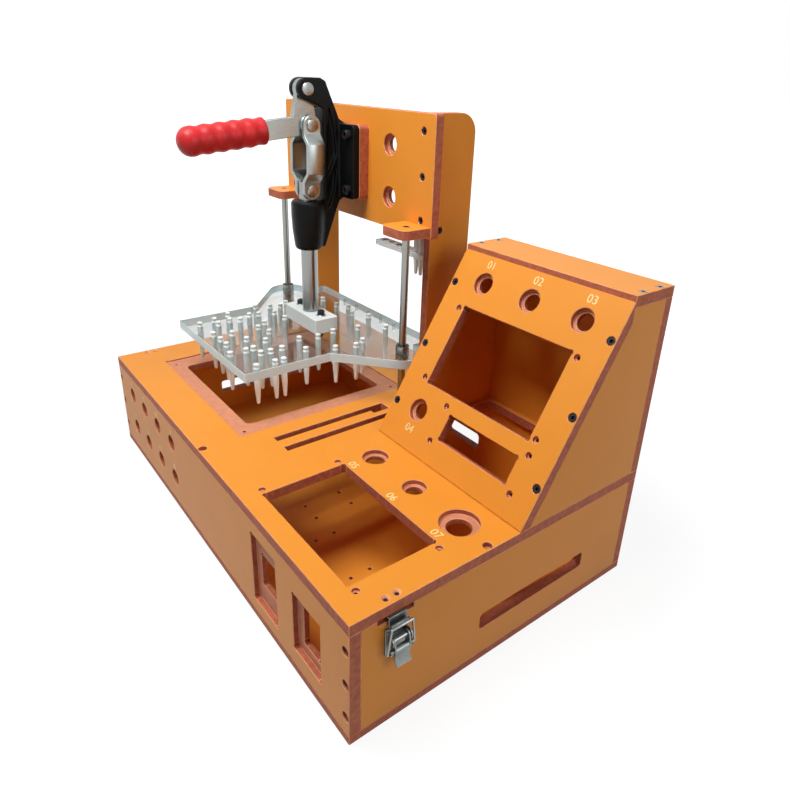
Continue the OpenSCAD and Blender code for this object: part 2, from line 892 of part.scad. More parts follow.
// Places of the two screws of a keeper
module at_keeper_screws() {
    for (m = [0, 1], s = [-1, 1]) {
        mirror([m, 0, 0]) at_latch()
            translate([-keeper_screw_in, s * keeper_screw_y, deck_z]) children();
    }
}

module keeper_screws() {
    color(steel) at_keeper_screws() sunk_screw(m3, sheet_t + keeper_t);
}

// Deck

module cable_slots() {
    for (k = [0, 1]) {
        x = cable_slot_x + k * cable_slot_pitch;
        block([x - cable_slot_w / 2, cable_slot_y - cable_slot_l, seam_z - eps],
              [x + cable_slot_w / 2, cable_slot_y, deck_z + eps]);
    }
    block([cable_slot_x - cable_slot_w / 2, cable_slot_y - cable_end_l, seam_z - eps],
          [cable_slot_x - cable_slot_w / 2 + cable_end_w, cable_slot_y, deck_z + eps]);
}

module top_plate() {
    bores = [left_button_bore, mid_button_bore, right_button_bore];
    recesses = [left_button_recess, mid_button_recess, right_button_recess];
    color(laminate) difference() {
        block([-wall_x, -wall_y, seam_z], [wall_x, wall_y, deck_z]);
        translate([well_x, well_y, 0]) {
            translate([0, 0, deck_z - ledge_drop]) linear_extrude(sheet_t) milled_rect(well_w, well_d);
            translate([0, 0, seam_z - eps]) linear_extrude(sheet_t + 1) round_rect(well_hole_w, well_hole_d, 6);
            translate([0, 0, seam_z - eps]) four(well_w - ledge_side, well_d - ledge_end)
                cylinder(h = sheet_t + 1, r = nest_hole_r);
        }
        translate([deck_win_right, -deck_win_front, 0]) {
            translate([0, 0, seam_z - eps]) linear_extrude(sheet_t + 2 * eps)
                milled_rect(deck_win_w, deck_win_d);
            translate([0, 0, deck_z]) four(deck_win_screw_x, deck_win_screw_y) sunk_hole(sheet_t);
        }
        for (k = [0, 1, 2]) {
            translate([cbox_mid + (k - 1) * button_pitch, -button_front, deck_z])
                stepped_bore(bores[k], recesses[k], sheet_t);
        }
        cable_slots();
        for (s = locate_sites) {
            along_z([s[0], s[1], seam_z - eps], sheet_t + 2 * eps, locate_r);
            along_z([s[0], s[1], deck_z - step_depth], step_depth + eps, locate_sink_r);
        }
        block([cbox_x0 + deck_open_rim, cbox_foot + 2 * deck_open_rim, seam_z - eps],
              [wall_x - deck_open_rim, wall_y - deck_open_rim, deck_z + eps]);
        for (s = [-1, 1]) {
            along_z([press_x + s * rod_x, rod_y, deck_z - rod_seat], rod_seat + eps, rod_r + seat_gap);
            for (k = [-1, 1]) {
                y = cross_y1 + upright_d / 2 + k * foot_screw_pitch / 2;
                translate([press_x + s * upright_mid, y, seam_z])
                    mirror([0, 0, 1]) sunk_screw_hole(m4, sheet_t + eps);
            }
        }
        at_keeper_screws() sunk_screw_hole(m3, sheet_t);
    }
}

// Control box: the front, top and rear panels lie over the edges of the side panels

module panel_front() {
    color(laminate) difference() {
        side_shape(cbox_x0, wall_x) polygon([
            [cbox_foot, deck_z], [cbox_edge_y, cbox_top - cbox_reveal],
            [cbox_edge_y, cbox_top - cbox_reveal - sheet_t / sin(slope)],
            [cbox_foot + sheet_t / cos(slope), deck_z]]);
        for (k = [-1, 0, 1]) {
            on_slope(cbox_mid + 2 + k * lamp_pitch, lamp_up) stepped_bore(lamp_bore, lamp_recess, sheet_t);
        }
        on_slope(cbox_mid - extra_lamp_left, extra_lamp_up) stepped_bore(lamp_bore, lamp_recess, sheet_t);
        on_slope(cbox_mid, panel_win_up) {
            translate([0, 0, -sheet_t - eps]) linear_extrude(sheet_t + 2 * eps)
                milled_rect(panel_win_w, panel_win_h);
            four(panel_win_screw[0], panel_win_screw[1]) sunk_hole(sheet_t);
        }
        on_slope(cbox_mid + panel_slot_right, panel_slot_up) {
            translate([0, 0, -sheet_t - eps]) linear_extrude(sheet_t + 2 * eps)
                milled_rect(panel_slot_w, panel_slot_h);
            four(panel_slot_screw[0], panel_slot_screw[1]) sunk_hole(sheet_t);
        }
        panel_screw_bores();
    }
}

// Places of the cap screws that hold the sloped panel to the side panels
module at_panel_screws() {
    for (x = [cbox_x0 + sheet_t / 2, wall_x - sheet_t / 2], u = panel_screw_up) {
        on_slope(x, u) children();
    }
}

module panel_screw_bores() {
    at_panel_screws() {
        translate([0, 0, -step_depth]) cylinder(h = step_depth + eps, r = m4[0] + 0.4);
        translate([0, 0, -step_depth - screw_bite - 1]) cylinder(h = screw_bite + 2, r = m4[2] + seat_gap);
    }
}

module panel_cap_screws() {
    color(black) at_panel_screws() translate([0, 0, -step_depth]) cap_screw(m4, screw_bite);
}

// Places of the countersunk screws in the top panel
module at_top_screws() {
    for (x = [cbox_x0 + sheet_t / 2, wall_x - sheet_t / 2], k = [0, 1]) {
        translate([x, cbox_edge_y + top_screw_in + k * top_screw_pitch, cbox_top]) children();
    }
}

module panel_top() {
    color(laminate) difference() {
        block([cbox_x0, cbox_edge_y, cbox_top - sheet_t], [wall_x, wall_y, cbox_top]);
        at_top_screws() sunk_screw_hole(m4, sheet_t + eps);
    }
}

module panel_top_screws() {
    color(steel) at_top_screws() sunk_screw(m4, sheet_t + screw_bite);
}

module panel_rear() {
    color(laminate) block([cbox_x0, wall_y - sheet_t, deck_z], [wall_x, wall_y, cbox_top - sheet_t]);
}

module side_panel(x0) {
    inner_edge = cbox_top - cbox_reveal - sheet_t / sin(slope);
    difference() {
        side_shape(x0, x0 + sheet_t) polygon([
            [cbox_foot + sheet_t / cos(slope), deck_z], [cbox_edge_y, inner_edge],
            [cbox_edge_y, cbox_top - sheet_t], [wall_y - sheet_t, cbox_top - sheet_t],
            [wall_y - sheet_t, deck_z]]);
        panel_screw_bores();
        at_top_screws() translate([0, 0, -sheet_t - screw_bite - 1])
            cylinder(h = screw_bite + 2, r = m4[2] + seat_gap);
    }
}

module panel_left_side() {
    color(laminate) side_panel(cbox_x0);
}

module panel_right_side() {
    color(laminate) side_panel(wall_x - sheet_t);
}

// Press frame

// Places of the screws that hold the cross plate to the uprights
module at_cross_screws() {
    for (s = [-1, 1], z = cross_screw_up) {
        translate([press_x + s * upright_mid, cross_back, z]) rotate([90, 0, 0]) children();
    }
}

module cross_screw_bores() {
    at_cross_screws() {
        translate([0, 0, -step_depth]) cylinder(h = step_depth + eps, r = m4[0] + 0.4);
        translate([0, 0, -step_depth - screw_bite - 1]) cylinder(h = screw_bite + 2, r = m4[2] + seat_gap);
    }
}

module cross_plate_screws() {
    color(black) at_cross_screws() translate([0, 0, -step_depth]) cap_screw(m4, screw_bite);
}

// Places of the bolts that hold the clamp
module at_clamp_bolts() {
    translate([press_x, flange_y - flange_t, flange_z]) rotate([90, 0, 0])
        four(2 * flange_bolt_x, flange_bolt_z) children();
}

module clamp_bolt_bores() {
    at_clamp_bolts() translate([0, 0, -bolt_reach]) cylinder(h = bolt_reach + eps, r = m6[2] + seat_gap);
}

module cross_plate() {
    color(laminate) difference() {
        translate([press_x, 0, (cross_z0 + cross_z1) / 2])
            front_shape(cross_back, cross_y1) round_rect(cross_w, cross_h, cross_round);
        cross_screw_bores();
        clamp_bolt_bores();
        translate([press_x, cross_back, sensor_z]) rotate([90, 0, 0])
            four(2 * sensor_x, sensor_pitch) stepped_bore(sensor_bore, sensor_recess, sheet_t);
    }
}

// Places of the screws through the uprights into the brace
module at_brace_screws() {
    for (s = [-1, 1]) {
        translate([press_x + s * (upright_x + sheet_t), cross_y1 + brace_d / 2, cross_z0 + sheet_t / 2])
            rotate([0, s * 90, 0]) children();
    }
}

module brace_screw_bores() {
    at_brace_screws() {
        translate([0, 0, -step_depth]) cylinder(h = step_depth + eps, r = m4[0] + 0.4);
        translate([0, 0, -step_depth - screw_bite - 1]) cylinder(h = screw_bite + 2, r = m4[2] + seat_gap);
    }
}

module brace_screws() {
    color(black) at_brace_screws() translate([0, 0, -step_depth]) cap_screw(m4, screw_bite);
}

module upright(x0) {
    y1 = cross_y1 + upright_d;
    difference() {
        side_shape(x0, x0 + sheet_t) {
            translate([cross_y1, deck_z]) square([upright_d, cross_z1 - upright_round - deck_z]);
            translate([cross_y1, deck_z]) square([upright_d - upright_round, cross_z1 - deck_z]);
            translate([y1 - upright_round, cross_z1 - upright_round]) circle(upright_round);
        }
        cross_screw_bores();
        brace_screw_bores();
        for (k = [-1, 1]) {
            along_z([x0 + sheet_t / 2, (cross_y1 + y1) / 2 + k * foot_screw_pitch / 2, deck_z - eps],
                    screw_bite + eps, m4[2] + seat_gap);
        }
    }
}

module left_upright() {
    color(laminate) upright(press_x - upright_x - sheet_t);
}

module right_upright() {
    color(laminate) upright(press_x + upright_x);
}

module rear_brace() {
    color(laminate) difference() {
        block([press_x - upright_x, cross_y1, cross_z0],
              [press_x + upright_x, cross_y1 + brace_d, cross_z0 + sheet_t]);
        brace_screw_bores();
    }
}

// Guides

// A lug, drawn for the right rod, with its front corners rounded
module rod_lug() {
    difference() {
        translate([lug_out - lug_w, 0, lug_z0]) linear_extrude(sheet_t) {
            translate([0, cross_back - lug_d + lug_round]) square([lug_w, lug_d - lug_round]);
            translate([lug_round, cross_back - lug_d]) square([lug_w - 2 * lug_round, lug_d]);
            for (x = [lug_round, lug_w - lug_round]) {
                translate([x, cross_back - lug_d + lug_round]) circle(lug_round);
            }
        }
        along_z([0, rod_y, lug_z0 - eps], rod_seat / 2 + eps, rod_r + seat_gap);
        along_z([0, rod_y, lug_z0], sheet_t + eps, m4[2] + seat_gap);
        along_z([0, rod_y, lug_z1 - m4[1]], m4[1] + eps, m4[0] + 0.4);
    }
}

module right_rod_lug() {
    color(laminate) translate([press_x + rod_x, 0, 0]) rod_lug();
}

module left_rod_lug() {
    color(laminate) translate([press_x - rod_x, 0, 0]) mirror([1, 0, 0]) rod_lug();
}

module guide_rod(x) {
    top = lug_z0 + rod_seat / 2;
    color(steel) difference() {
        along_z([x, rod_y, deck_z - rod_seat], top - deck_z + rod_seat, rod_r);
        along_z([x, rod_y, top - screw_bite / 2], screw_bite / 2 + eps, m4[2] + seat_gap);
    }
}

module left_guide_rod() {
    guide_rod(press_x - rod_x);
}

module right_guide_rod() {
    guide_rod(press_x + rod_x);
}

module rod_screws() {
    color(black) for (s = [-1, 1]) {
        translate([press_x + s * rod_x, rod_y, lug_z1 - m4[1]])
            cap_screw(m4, sheet_t - m4[1] - rod_seat / 2 + screw_bite / 2 - 1);
    }
}

module bush(x) {
    color(steel) difference() {
        along_z([x, rod_y, plate_top + 8 - bush_l], bush_l, bush_d / 2);
        along_z([x, rod_y, plate_top + 8 - bush_l - eps], bush_l + 2 * eps, rod_r + run_gap);
    }
}

module left_bush() {
    bush(press_x - rod_x);
}

module right_bush() {
    bush(press_x + rod_x);
}

// Clamp

module clamp_spacer() {
    color(laminate) difference() {
        translate([press_x, 0, flange_z])
            front_shape(flange_y, cross_back) round_rect(flange_w, flange_h, flange_round);
        clamp_bolt_bores();
    }
}

module clamp_screws() {
    color(black) at_clamp_bolts() cap_screw(m6, flange_t + spacer_t + sheet_t - 1);
}

// Side outline of the cast frame between the barrel, the flange and the cheeks
module frame_outline() {
    z0 = barrel_top - barrel_l;
    polygon([
        [axis_y + 6, z0 + 2], [axis_y + barrel_r - 3, z0 + 2],
        [flange_y - flange_t, flange_z - flange_h / 2 - 4], [flange_y, flange_z - flange_h / 2],
        [flange_y, flange_z + flange_h / 2], [flange_y - flange_t, flange_z + flange_h / 2 + 4],
        [pivot_y + 22, pivot_z + 8], [pivot_y + 16, pivot_z + cheek_r], [pivot_y, pivot_z + cheek_r],
        [pivot_y, pivot_z - cheek_r], [frame_front, pivot_z - cheek_r - 8], [frame_front, barrel_top + 4],
        [axis_y + 8, barrel_top - 2]]);
}

// The upper hollow in each flank, between the front rib and the rear one
module upper_hollow() {
    polygon([
        [frame_front + 5, barrel_top + 26], [flange_y - flange_t - 4, flange_z + 8],
        [flange_y - flange_t - 7, flange_z + flange_h / 2 - 4], [frame_front + 7, pivot_z - 14],
        [frame_front + 5, flange_z + 12]]);
}

// The lower hollow, under the rib that runs from the flange to the top of the barrel
module lower_hollow() {
    polygon([
        [axis_y + barrel_r + 1, barrel_top - 14], [flange_y - flange_t - 7, flange_z - flange_h / 2 + 7],
        [flange_y - flange_t - 4, flange_z - 4], [frame_front + 5, barrel_top + 14]]);
}

module clamp_body() {
    z0 = barrel_top - barrel_l;
    color(black) difference() {
        union() {
            translate([press_x, axis_y, z0]) rotate_extrude() polygon([
                [0, 0], [barrel_r - 5.5, 0], [barrel_r - 3.9, 1.2], [barrel_r - 3, 4],
                [barrel_r - 0.8, barrel_l * 0.4], [barrel_r, barrel_l * 0.7], [barrel_r, barrel_l - 3],
                [barrel_r - 2, barrel_l], [0, barrel_l]]);
            side_shape(press_x - cheek_half, press_x + cheek_half) frame_outline();
            along_x([press_x - cheek_half, pivot_y, pivot_z], 2 * cheek_half, cheek_r);
            translate([press_x, 0, flange_z])
                front_shape(flange_y - flange_t, flange_y) round_rect(flange_w, flange_h, flange_round);
        }
        for (s = [-1, 1]) {
            x0 = s < 0 ? press_x - cheek_half - eps : press_x + web_half;
            side_shape(x0, x0 + cheek_half - web_half + eps) {
                upper_hollow();
                lower_hollow();
            }
        }
        along_z([press_x, axis_y, z0 - eps], barrel_l + 2 * eps, plunger_d / 2 + run_gap);
        block([press_x - slot_half, pivot_y - pin_reach, elbow_z - link_w],
              [press_x + slot_half, frame_front - 1, pivot_z + pin_reach]);
        along_x([press_x - pin_reach, pivot_y, pivot_z], 2 * pin_reach, pin_d / 2 + seat_gap);
        clamp_bolt_bores();
    }
}

// A pivot pin with a domed head at each end
module pivot_pin(half) {
    along_x([-half - eps, 0, 0], 2 * half + 2 * eps, pin_d / 2);
    for (s = [0, 1]) {
        mirror([s, 0, 0]) translate([half, 0, 0]) rotate([0, 90, 0])
            cylinder(h = head_h, r1 = head_r, r2 = head_r - 0.8);
    }
}

module upper_pivot_pin() {
    color(steel) translate([press_x, pivot_y, pivot_z]) pivot_pin(cheek_half + 0.05);
}

// The handle: a bell crank from the upper pivot to the elbow, and the arm that the grip slides on
module handle_outline() {
    translate([pivot_y, pivot_z]) circle(cheek_r - 1);
    translate([elbow_y, elbow_z]) circle(link_w / 2);
    polygon([[pivot_y - cheek_r + 3, pivot_z], [pivot_y + cheek_r - 3, pivot_z],
             [elbow_y + link_w / 2, elbow_z], [elbow_y, elbow_z - link_w / 2], [elbow_y - bar_h, elbow_z]]);
    translate([elbow_y, elbow_z]) rotate(handle_droop)
        translate([-bar_l - grip_l * grip_in, -bar_h / 2]) square([bar_l + grip_l * grip_in, bar_h]);
}

module handle_bar() {
    color(zinc) difference() {
        union() {
            side_shape(press_x - bar_t / 2, press_x + bar_t / 2) handle_outline();
            along_x([press_x - boss_half, elbow_y, elbow_z], 2 * boss_half, link_w / 2 - 0.5);
        }
        along_x([press_x - pin_reach, pivot_y, pivot_z], 2 * pin_reach, pin_d / 2 + run_gap);
    }
}

// Radius of the grip along its length: finger waves behind a plain cuff that narrows to its mouth
function grip_r(k) = grip_d / 2 + grip_wave * cos(360 * (grip_waves * k - 2.07)) - 5 * max(0, 0.18 - k);

module handle_grip() {
    steps = 50;
    cap = 0.86;
    body = [for (i = [0:steps * cap]) [grip_r(i / steps), i / steps * grip_l]];
    end_r = grip_r(cap);
    dome = [for (a = [15:15:90]) [end_r * cos(a), grip_l * (cap + (1 - cap) * sin(a))]];
    inside = bar_l + grip_l * grip_in;
    color(red) translate([press_x, elbow_y, elbow_z]) rotate([handle_droop, 0, 0]) difference() {
        translate([0, -bar_l, 0]) rotate([90, 0, 0]) rotate_extrude() polygon(concat([[0, 0]], body, dome));
        block([-bar_t / 2 - seat_gap, -inside - seat_gap, -bar_h / 2 - seat_gap],
              [bar_t / 2 + seat_gap, 0, bar_h / 2 + seat_gap]);
    }
}

// The two links step outwards between their ends
module link_strap() {
    z1 = lower_z + link_w / 2;
    z2 = elbow_z - link_w / 2;
    a = link_in;
    b = link_in + link_bow;
    polygon([
        [a, lower_z - link_w], [a, z1], [b, z1 + link_bend], [b, z2 - link_bend], [a, z2],
        [a, elbow_z + link_w], [a + link_t, elbow_z + link_w], [a + link_t, z2 + 1.5],
        [b + link_t, z2 - link_bend + 1.5], [b + link_t, z1 + link_bend - 1.5],
        [a + link_t, z1 - 1.5], [a + link_t, lower_z - link_w]]);
}

// Outline of a link seen from the side, from the lower pivot to the elbow
module link_face() {
    lean = atan2(elbow_back, link_rise);
    translate([axis_y, lower_z]) rotate(-lean) {
        circle(link_w / 2);
        translate([-link_w / 2, 0]) square([link_w, link_l]);
        translate([0, link_l]) circle(link_w / 2);
    }
}

module link(s) {
    color(zinc) translate([press_x, 0, 0]) mirror([s, 0, 0]) difference() {
        intersection() {
            front_shape(axis_y - link_w, axis_y + link_w) link_strap();
            side_shape(0, pin_reach) link_face();
        }
        along_x([0, axis_y, lower_z], pin_reach, pin_d / 2 + run_gap);
        along_x([0, elbow_y, elbow_z], pin_reach, pin_d / 2 + seat_gap);
    }
}

module left_link() {
    link(1);
}

module right_link() {
    link(0);
}

// The elbow pin's ends, which stay with the links
module elbow_rivets() {
    color(steel) translate([press_x, elbow_y, elbow_z]) for (s = [0, 1]) {
        mirror([s, 0, 0]) {
            along_x([link_in, 0, 0], link_t + 2 * eps, pin_d / 2);
            translate([link_in + link_t + 0.05, 0, 0]) rotate([0, 90, 0])
                cylinder(h = head_h, r1 = head_r, r2 = head_r - 0.8);
        }
    }
}

// Plunger

module plunger_rod() {
    tang_top = lower_z + link_w / 2 - 1;
    tang_z = lower_z - link_w / 2 - 1;
    color(steel) difference() {
        union() {
            along_z([press_x, axis_y, block_top], tang_z - block_top, plunger_d / 2);
            intersection() {
                along_z([press_x, axis_y, tang_z - eps], tang_top - tang_z + eps, plunger_d / 2);
                block([press_x - boss_half, axis_y - plunger_d, tang_z - eps],
                      [press_x + boss_half, axis_y + plunger_d, tang_top]);
            }
            along_z([press_x, axis_y, block_top - spigot_l], spigot_l + eps, spigot_r);
        }
        along_x([press_x - pin_reach, axis_y, lower_z], 2 * pin_reach, pin_d / 2 + seat_gap);
    }
}

module lower_pivot_pin() {
    color(steel) translate([press_x, axis_y, lower_z]) pivot_pin(link_in + link_t + side_gap);
}

// Places of the two screws of the mounting block
module at_block_screws() {
    for (s = [-1, 1]) {
        translate([press_x + s * block_screw_x, axis_y, block_top]) children();
    }
}

module mounting_block() {
    color(clear) difference() {
        translate([press_x, axis_y, plate_top]) linear_extrude(block_h) round_rect(block_l, block_d, 2);
        along_z([press_x, axis_y, block_top - spigot_l - 1], spigot_l + 2, spigot_r + seat_gap);
        at_block_screws() translate([0, 0, -block_h - eps])
            cylinder(h = block_h + 2 * eps, r = m5[2] + seat_gap);
    }
}

// Cap screws on flat washers
module block_screws() {
    washer_t = 1;
    washer_r = m5[0] + 1.2;
    color(black) at_block_screws() {
        translate([0, 0, washer_t]) cap_screw(m5, washer_t + block_h + plate_t - 1);
        difference() {
            cylinder(h = washer_t, r = washer_r);
            translate([0, 0, -eps]) cylinder(h = washer_t + 2 * eps, r = m5[2] + seat_gap);
        }
    }
}

// Outline of the press plate: a narrow front, and a wide rear with an ear round each guide rod
module plate_outline() {
    neck = [plate_w / 2, plate_neck];
    ear = [rod_x, rod_y];
    reach = norm(ear - neck);
    turn = atan2(ear[1] - neck[1], ear[0] - neck[0]) - asin(ear_r / reach);
    tangent = neck + reach * cos(asin(ear_r / reach)) * [cos(turn), sin(turn)];
    translate([-plate_w / 2, -plate_front]) square([plate_w, plate_front + plate_back]);
    translate([0, (rod_y + plate_back) / 2]) round_rect(plate_rear_w, plate_back - rod_y, 5);
    for (s = [0, 1]) {
        mirror([s, 0]) {
            translate(ear) circle(ear_r);
            polygon([neck, tangent, ear, [plate_rear_w / 2, rod_y + 10], [plate_w / 2 - 5, rod_y + 10],
                     [plate_w / 2 - 5, plate_neck]]);
        }
    }
}

module press_plate() {
    color(clear) difference() {
        translate([press_x, 0, plate_z]) linear_extrude(plate_t) plate_outline();
        for (s = [-1, 1]) {
            along_z([press_x + s * rod_x, rod_y, plate_z - eps], plate_t + 2 * eps, bush_d / 2 + seat_gap);
        }
        for (p = push_sites) {
            along_z([press_x + p[0], p[1], plate_z - eps], plate_t + 2 * eps, push_d / 2 + seat_gap);
        }
        for (k = [-2:2]) {
            along_z([press_x + k * rear_hole_pitch, plate_back - rear_hole_in, plate_z - eps],
                    plate_t + 2 * eps, rear_hole_r);
        }
        at_block_screws() translate([0, 0, -block_h - plate_t - eps])
            cylinder(h = plate_t + 2 * eps, r = m5[2] + seat_gap);
    }
}

// A push pin with a grooved head and a tapered tip, which reaches a given length below z = 0
module push_pin(below) {
    r = push_d / 2;
    l = push_top + plate_t + push_tip;
    translate([0, 0, -below]) rotate_extrude() polygon([
        [0, 0], [r * 0.35, 0], [r * 0.55, 0.8], [r * 0.62, 3], [r * 0.96, push_tip * 0.6], [r, push_tip],
        [r, l - 4.2], [r * 0.72, l - 3.6], [r * 0.72, l - 2.2], [r * 0.95, l - 1.6], [r * 0.9, l], [0, l]]);
}

module push_pins() {
    color(frosted) for (p = push_sites) {
        translate([press_x + p[0], p[1], plate_z]) push_pin(push_tip);
    }
}

// A strip under the brace that keeps spare push pins
module pin_rack() {
    x1 = press_x + upright_x;
    y0 = rack_y;
    z0 = cross_z0 - rack_drop;
    color(clear) difference() {
        union() {
            block([x1 - rack_l, y0, z0], [x1, y0 + rack_d, z0 + rack_t]);
            block([x1 - hanger_w, y0 + rack_d - rack_t, z0], [x1, y0 + rack_d, cross_z0]);
        }
        for (x = rack_sites) {
            along_z([x1 + x, y0 + rack_pin_y, z0 - eps], rack_t + 2 * eps, push_d / 2 + seat_gap);
        }
        for (k = [0, 1, 2]) {
            along_z([x1 - rack_l + rack_hole_in + k * rack_hole_pitch, y0 + rack_d / 2, z0 - eps],
                    rack_t + 2 * eps, rack_hole_r);
        }
    }
}

module rack_pins() {
    color(frosted) for (x = rack_sites) {
        translate([press_x + upright_x + x, rack_y + rack_pin_y, cross_z0 - rack_drop]) push_pin(rack_tip);
    }
}

bottom_plate();
front_wall();
rear_wall();
left_wall();
right_wall();
wall_screws();
bottom_screws();
left_hinge_base_leaf();
right_hinge_base_leaf();
hinge_pins();
left_latch_base();
right_latch_base();
latch_pins();
top_plate();
left_hinge_deck_leaf();
right_hinge_deck_leaf();
left_keeper();
right_keeper();
keeper_screws();
panel_front();
panel_top();
panel_rear();
panel_left_side();
panel_right_side();
panel_cap_screws();
panel_top_screws();
left_upright();
right_upright();
cross_plate();
cross_plate_screws();
rear_brace();
brace_screws();
left_rod_lug();
right_rod_lug();
rod_screws();
left_guide_rod();
right_guide_rod();
clamp_spacer();
clamp_body();
clamp_screws();
upper_pivot_pin();
pin_rack();
rack_pins();
plunger_rod();
lower_pivot_pin();
mounting_block();
block_screws();
press_plate();
push_pins();
left_bush();
right_bush();
handle_bar();
handle_grip();
left_link();
right_link();
elbow_rivets();
left_latch_lever();
right_latch_lever();
left_latch_bail();
right_latch_bail();
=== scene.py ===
"""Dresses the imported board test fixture: sheets, clamp, press plate, latches, numbers and a studio stage."""

import json
import math

import bmesh
import bpy
from mathutils import Matrix, Vector


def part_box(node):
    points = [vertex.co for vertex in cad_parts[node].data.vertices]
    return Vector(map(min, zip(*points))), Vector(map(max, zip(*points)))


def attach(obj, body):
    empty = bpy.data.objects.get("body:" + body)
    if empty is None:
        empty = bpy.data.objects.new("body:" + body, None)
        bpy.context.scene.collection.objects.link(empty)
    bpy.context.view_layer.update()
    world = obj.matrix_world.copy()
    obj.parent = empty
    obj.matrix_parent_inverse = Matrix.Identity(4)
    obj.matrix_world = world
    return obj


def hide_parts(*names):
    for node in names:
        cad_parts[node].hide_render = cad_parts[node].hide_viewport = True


bl_info = {
    "name": "Board Test Fixture",
    "version": (1, 0, 0),
    "blender": (4, 5, 0),
    "location": "View3D > Sidebar > Fixture",
    "description": "Dresses the packed board test fixture and sets up its studio stage",
    "category": "Object",
}

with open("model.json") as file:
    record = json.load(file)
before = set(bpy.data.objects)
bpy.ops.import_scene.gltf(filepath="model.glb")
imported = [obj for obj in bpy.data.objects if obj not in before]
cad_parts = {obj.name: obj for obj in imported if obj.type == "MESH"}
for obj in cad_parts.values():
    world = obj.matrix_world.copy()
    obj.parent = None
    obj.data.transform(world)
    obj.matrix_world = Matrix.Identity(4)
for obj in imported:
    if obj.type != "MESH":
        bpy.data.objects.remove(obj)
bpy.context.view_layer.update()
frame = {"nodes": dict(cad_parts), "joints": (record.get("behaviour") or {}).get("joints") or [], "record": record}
NODES = frame["nodes"]
RECORD = frame["record"]
BODY_OF = {node: body for body, nodes in RECORD["behaviour"]["bodies"].items() for node in nodes}
MOUNTS = {mount["name"]: mount for mount in RECORD["mounts"]}

MM = 0.001
IMAGE_SIZE = 790
FLOOR_SIZE = 20
FLOOR_DROP = 0.3 * MM
X_AXIS = Vector((1, 0, 0))
Y_AXIS = Vector((0, 1, 0))
Z_AXIS = Vector((0, 0, 1))
SLOPE_OUT = Vector(MOUNTS["lamp_hole_middle"]["axis"]).normalized()
UP_SLOPE = SLOPE_OUT.cross(X_AXIS)

# Thickness direction of each laminate sheet
SHEETS = {
    "bottom_plate": Z_AXIS,
    "front_wall": Y_AXIS,
    "rear_wall": Y_AXIS,
    "left_wall": X_AXIS,
    "right_wall": X_AXIS,
    "top_plate": Z_AXIS,
    "panel_front": SLOPE_OUT,
    "panel_top": Z_AXIS,
    "panel_rear": Y_AXIS,
    "panel_left_side": X_AXIS,
    "panel_right_side": X_AXIS,
    "left_upright": X_AXIS,
    "right_upright": X_AXIS,
    "cross_plate": Y_AXIS,
    "rear_brace": Z_AXIS,
    "left_rod_lug": Z_AXIS,
    "right_rod_lug": Z_AXIS,
    "clamp_spacer": Y_AXIS,
}

# Places of the materials on a sheet; the arris place is painted paler, partly the sanded corner's own colour and
# partly a painted highlight
FACE, EDGE, STEP, ARRIS_AND_HIGHLIGHT = range(4)

# Width of the broken corners on each kind of small piece
CORNER = {
    "screw": 0.25 * MM,
    "bottom screw": 0.15 * MM,
    "block screw": 0.2 * MM,
    "handle": 0.5 * MM,
    "link": 0.6 * MM,
    "pivot": 0.5 * MM,
    "grip": 1.0 * MM,
    "rod": 0.4 * MM,
    "bush": 0.9 * MM,
    "acrylic": 0.3 * MM,
    "push pin": 0.2 * MM,
    "latch": 0.25 * MM,
    "bail": 0.1 * MM,
    "hinge": 0.2 * MM,
}

# Edges below the first angle are joined as flat, above the second broken, above the last two kept sharp
FLAT_ANGLE = math.radians(0.5)
CORNER_ANGLE = math.radians(32)
SHARP_ANGLE = math.radians(40)
WIRE_ANGLE = math.radians(60)

# Share of a face's normal along the thickness: upright below the first value, level above the second
UPRIGHT = 0.3
LEVEL = 0.95

# Points closer than the first length are joined, and heights closer than the second count as the same
WELD = 0.001 * MM
SAME_PLACE = 0.01 * MM

# A ring of upright faces that is wider than this is a plate's outside and no hole
WIDEST_HOLE = 60 * MM

# Depth of the stepped holes' mounts under the sheet's face
MOUNT_DEPTH = 7.5 * MM

# The first number of each row of labels, and the switch's own
FIRST_LAMP = 1
SWITCH = 4
FIRST_BUTTON = 5
FIRST_JACK = 11

# Place, target and side in metres, and watts, of each lamp
LAMPS = {
    "brow": ((0.0, -0.37, 1.15), (0.0, 0.05, 0.2), 0.5, 12.5),
    "right": ((1.5, 0.3, 0.9), (0.0, 0.0, 0.2), 0.8, 6.5),
    "left": ((-0.8, -0.7, 1.0), (0.0, 0.05, 0.2), 0.5, 1.0),
}


class SheetLook(bpy.types.PropertyGroup):
    """Colours, corners and seam of the laminate sheets"""

    face: bpy.props.FloatVectorProperty(
        name="Face", description="Colour of the sheet's faces", subtype="COLOR",
        default=(0.80, 0.29, 0.032)
    )
    edge: bpy.props.FloatVectorProperty(
        name="Cut edge", description="Colour of the sawn edges and hole walls", subtype="COLOR",
        default=(0.48, 0.14, 0.075)
    )
    step: bpy.props.FloatVectorProperty(
        name="Milled step", description="Colour of the milled steps", subtype="COLOR",
        default=(0.63, 0.25, 0.14)
    )
    # Paler colour of the broken corners: partly the sanded corner's own colour, partly a painted highlight along
    # the edges
    arris: bpy.props.FloatVectorProperty(
        name="Arris", description="Colour of the broken corners", subtype="COLOR",
        default=(0.78, 0.33, 0.16)
    )
    label: bpy.props.FloatVectorProperty(
        name="Label", description="Colour of the engraved numbers", subtype="COLOR",
        default=(0.95, 0.80, 0.38)
    )
    arris_width: bpy.props.FloatProperty(
        name="Arris width", description="Width of the broken corners", unit="LENGTH", default=0.45 * MM,
        min=0
    )
    seam: bpy.props.FloatProperty(
        name="Seam", description="Gap between the sloped panel and the deck", unit="LENGTH",
        default=0.7 * MM, min=0
    )


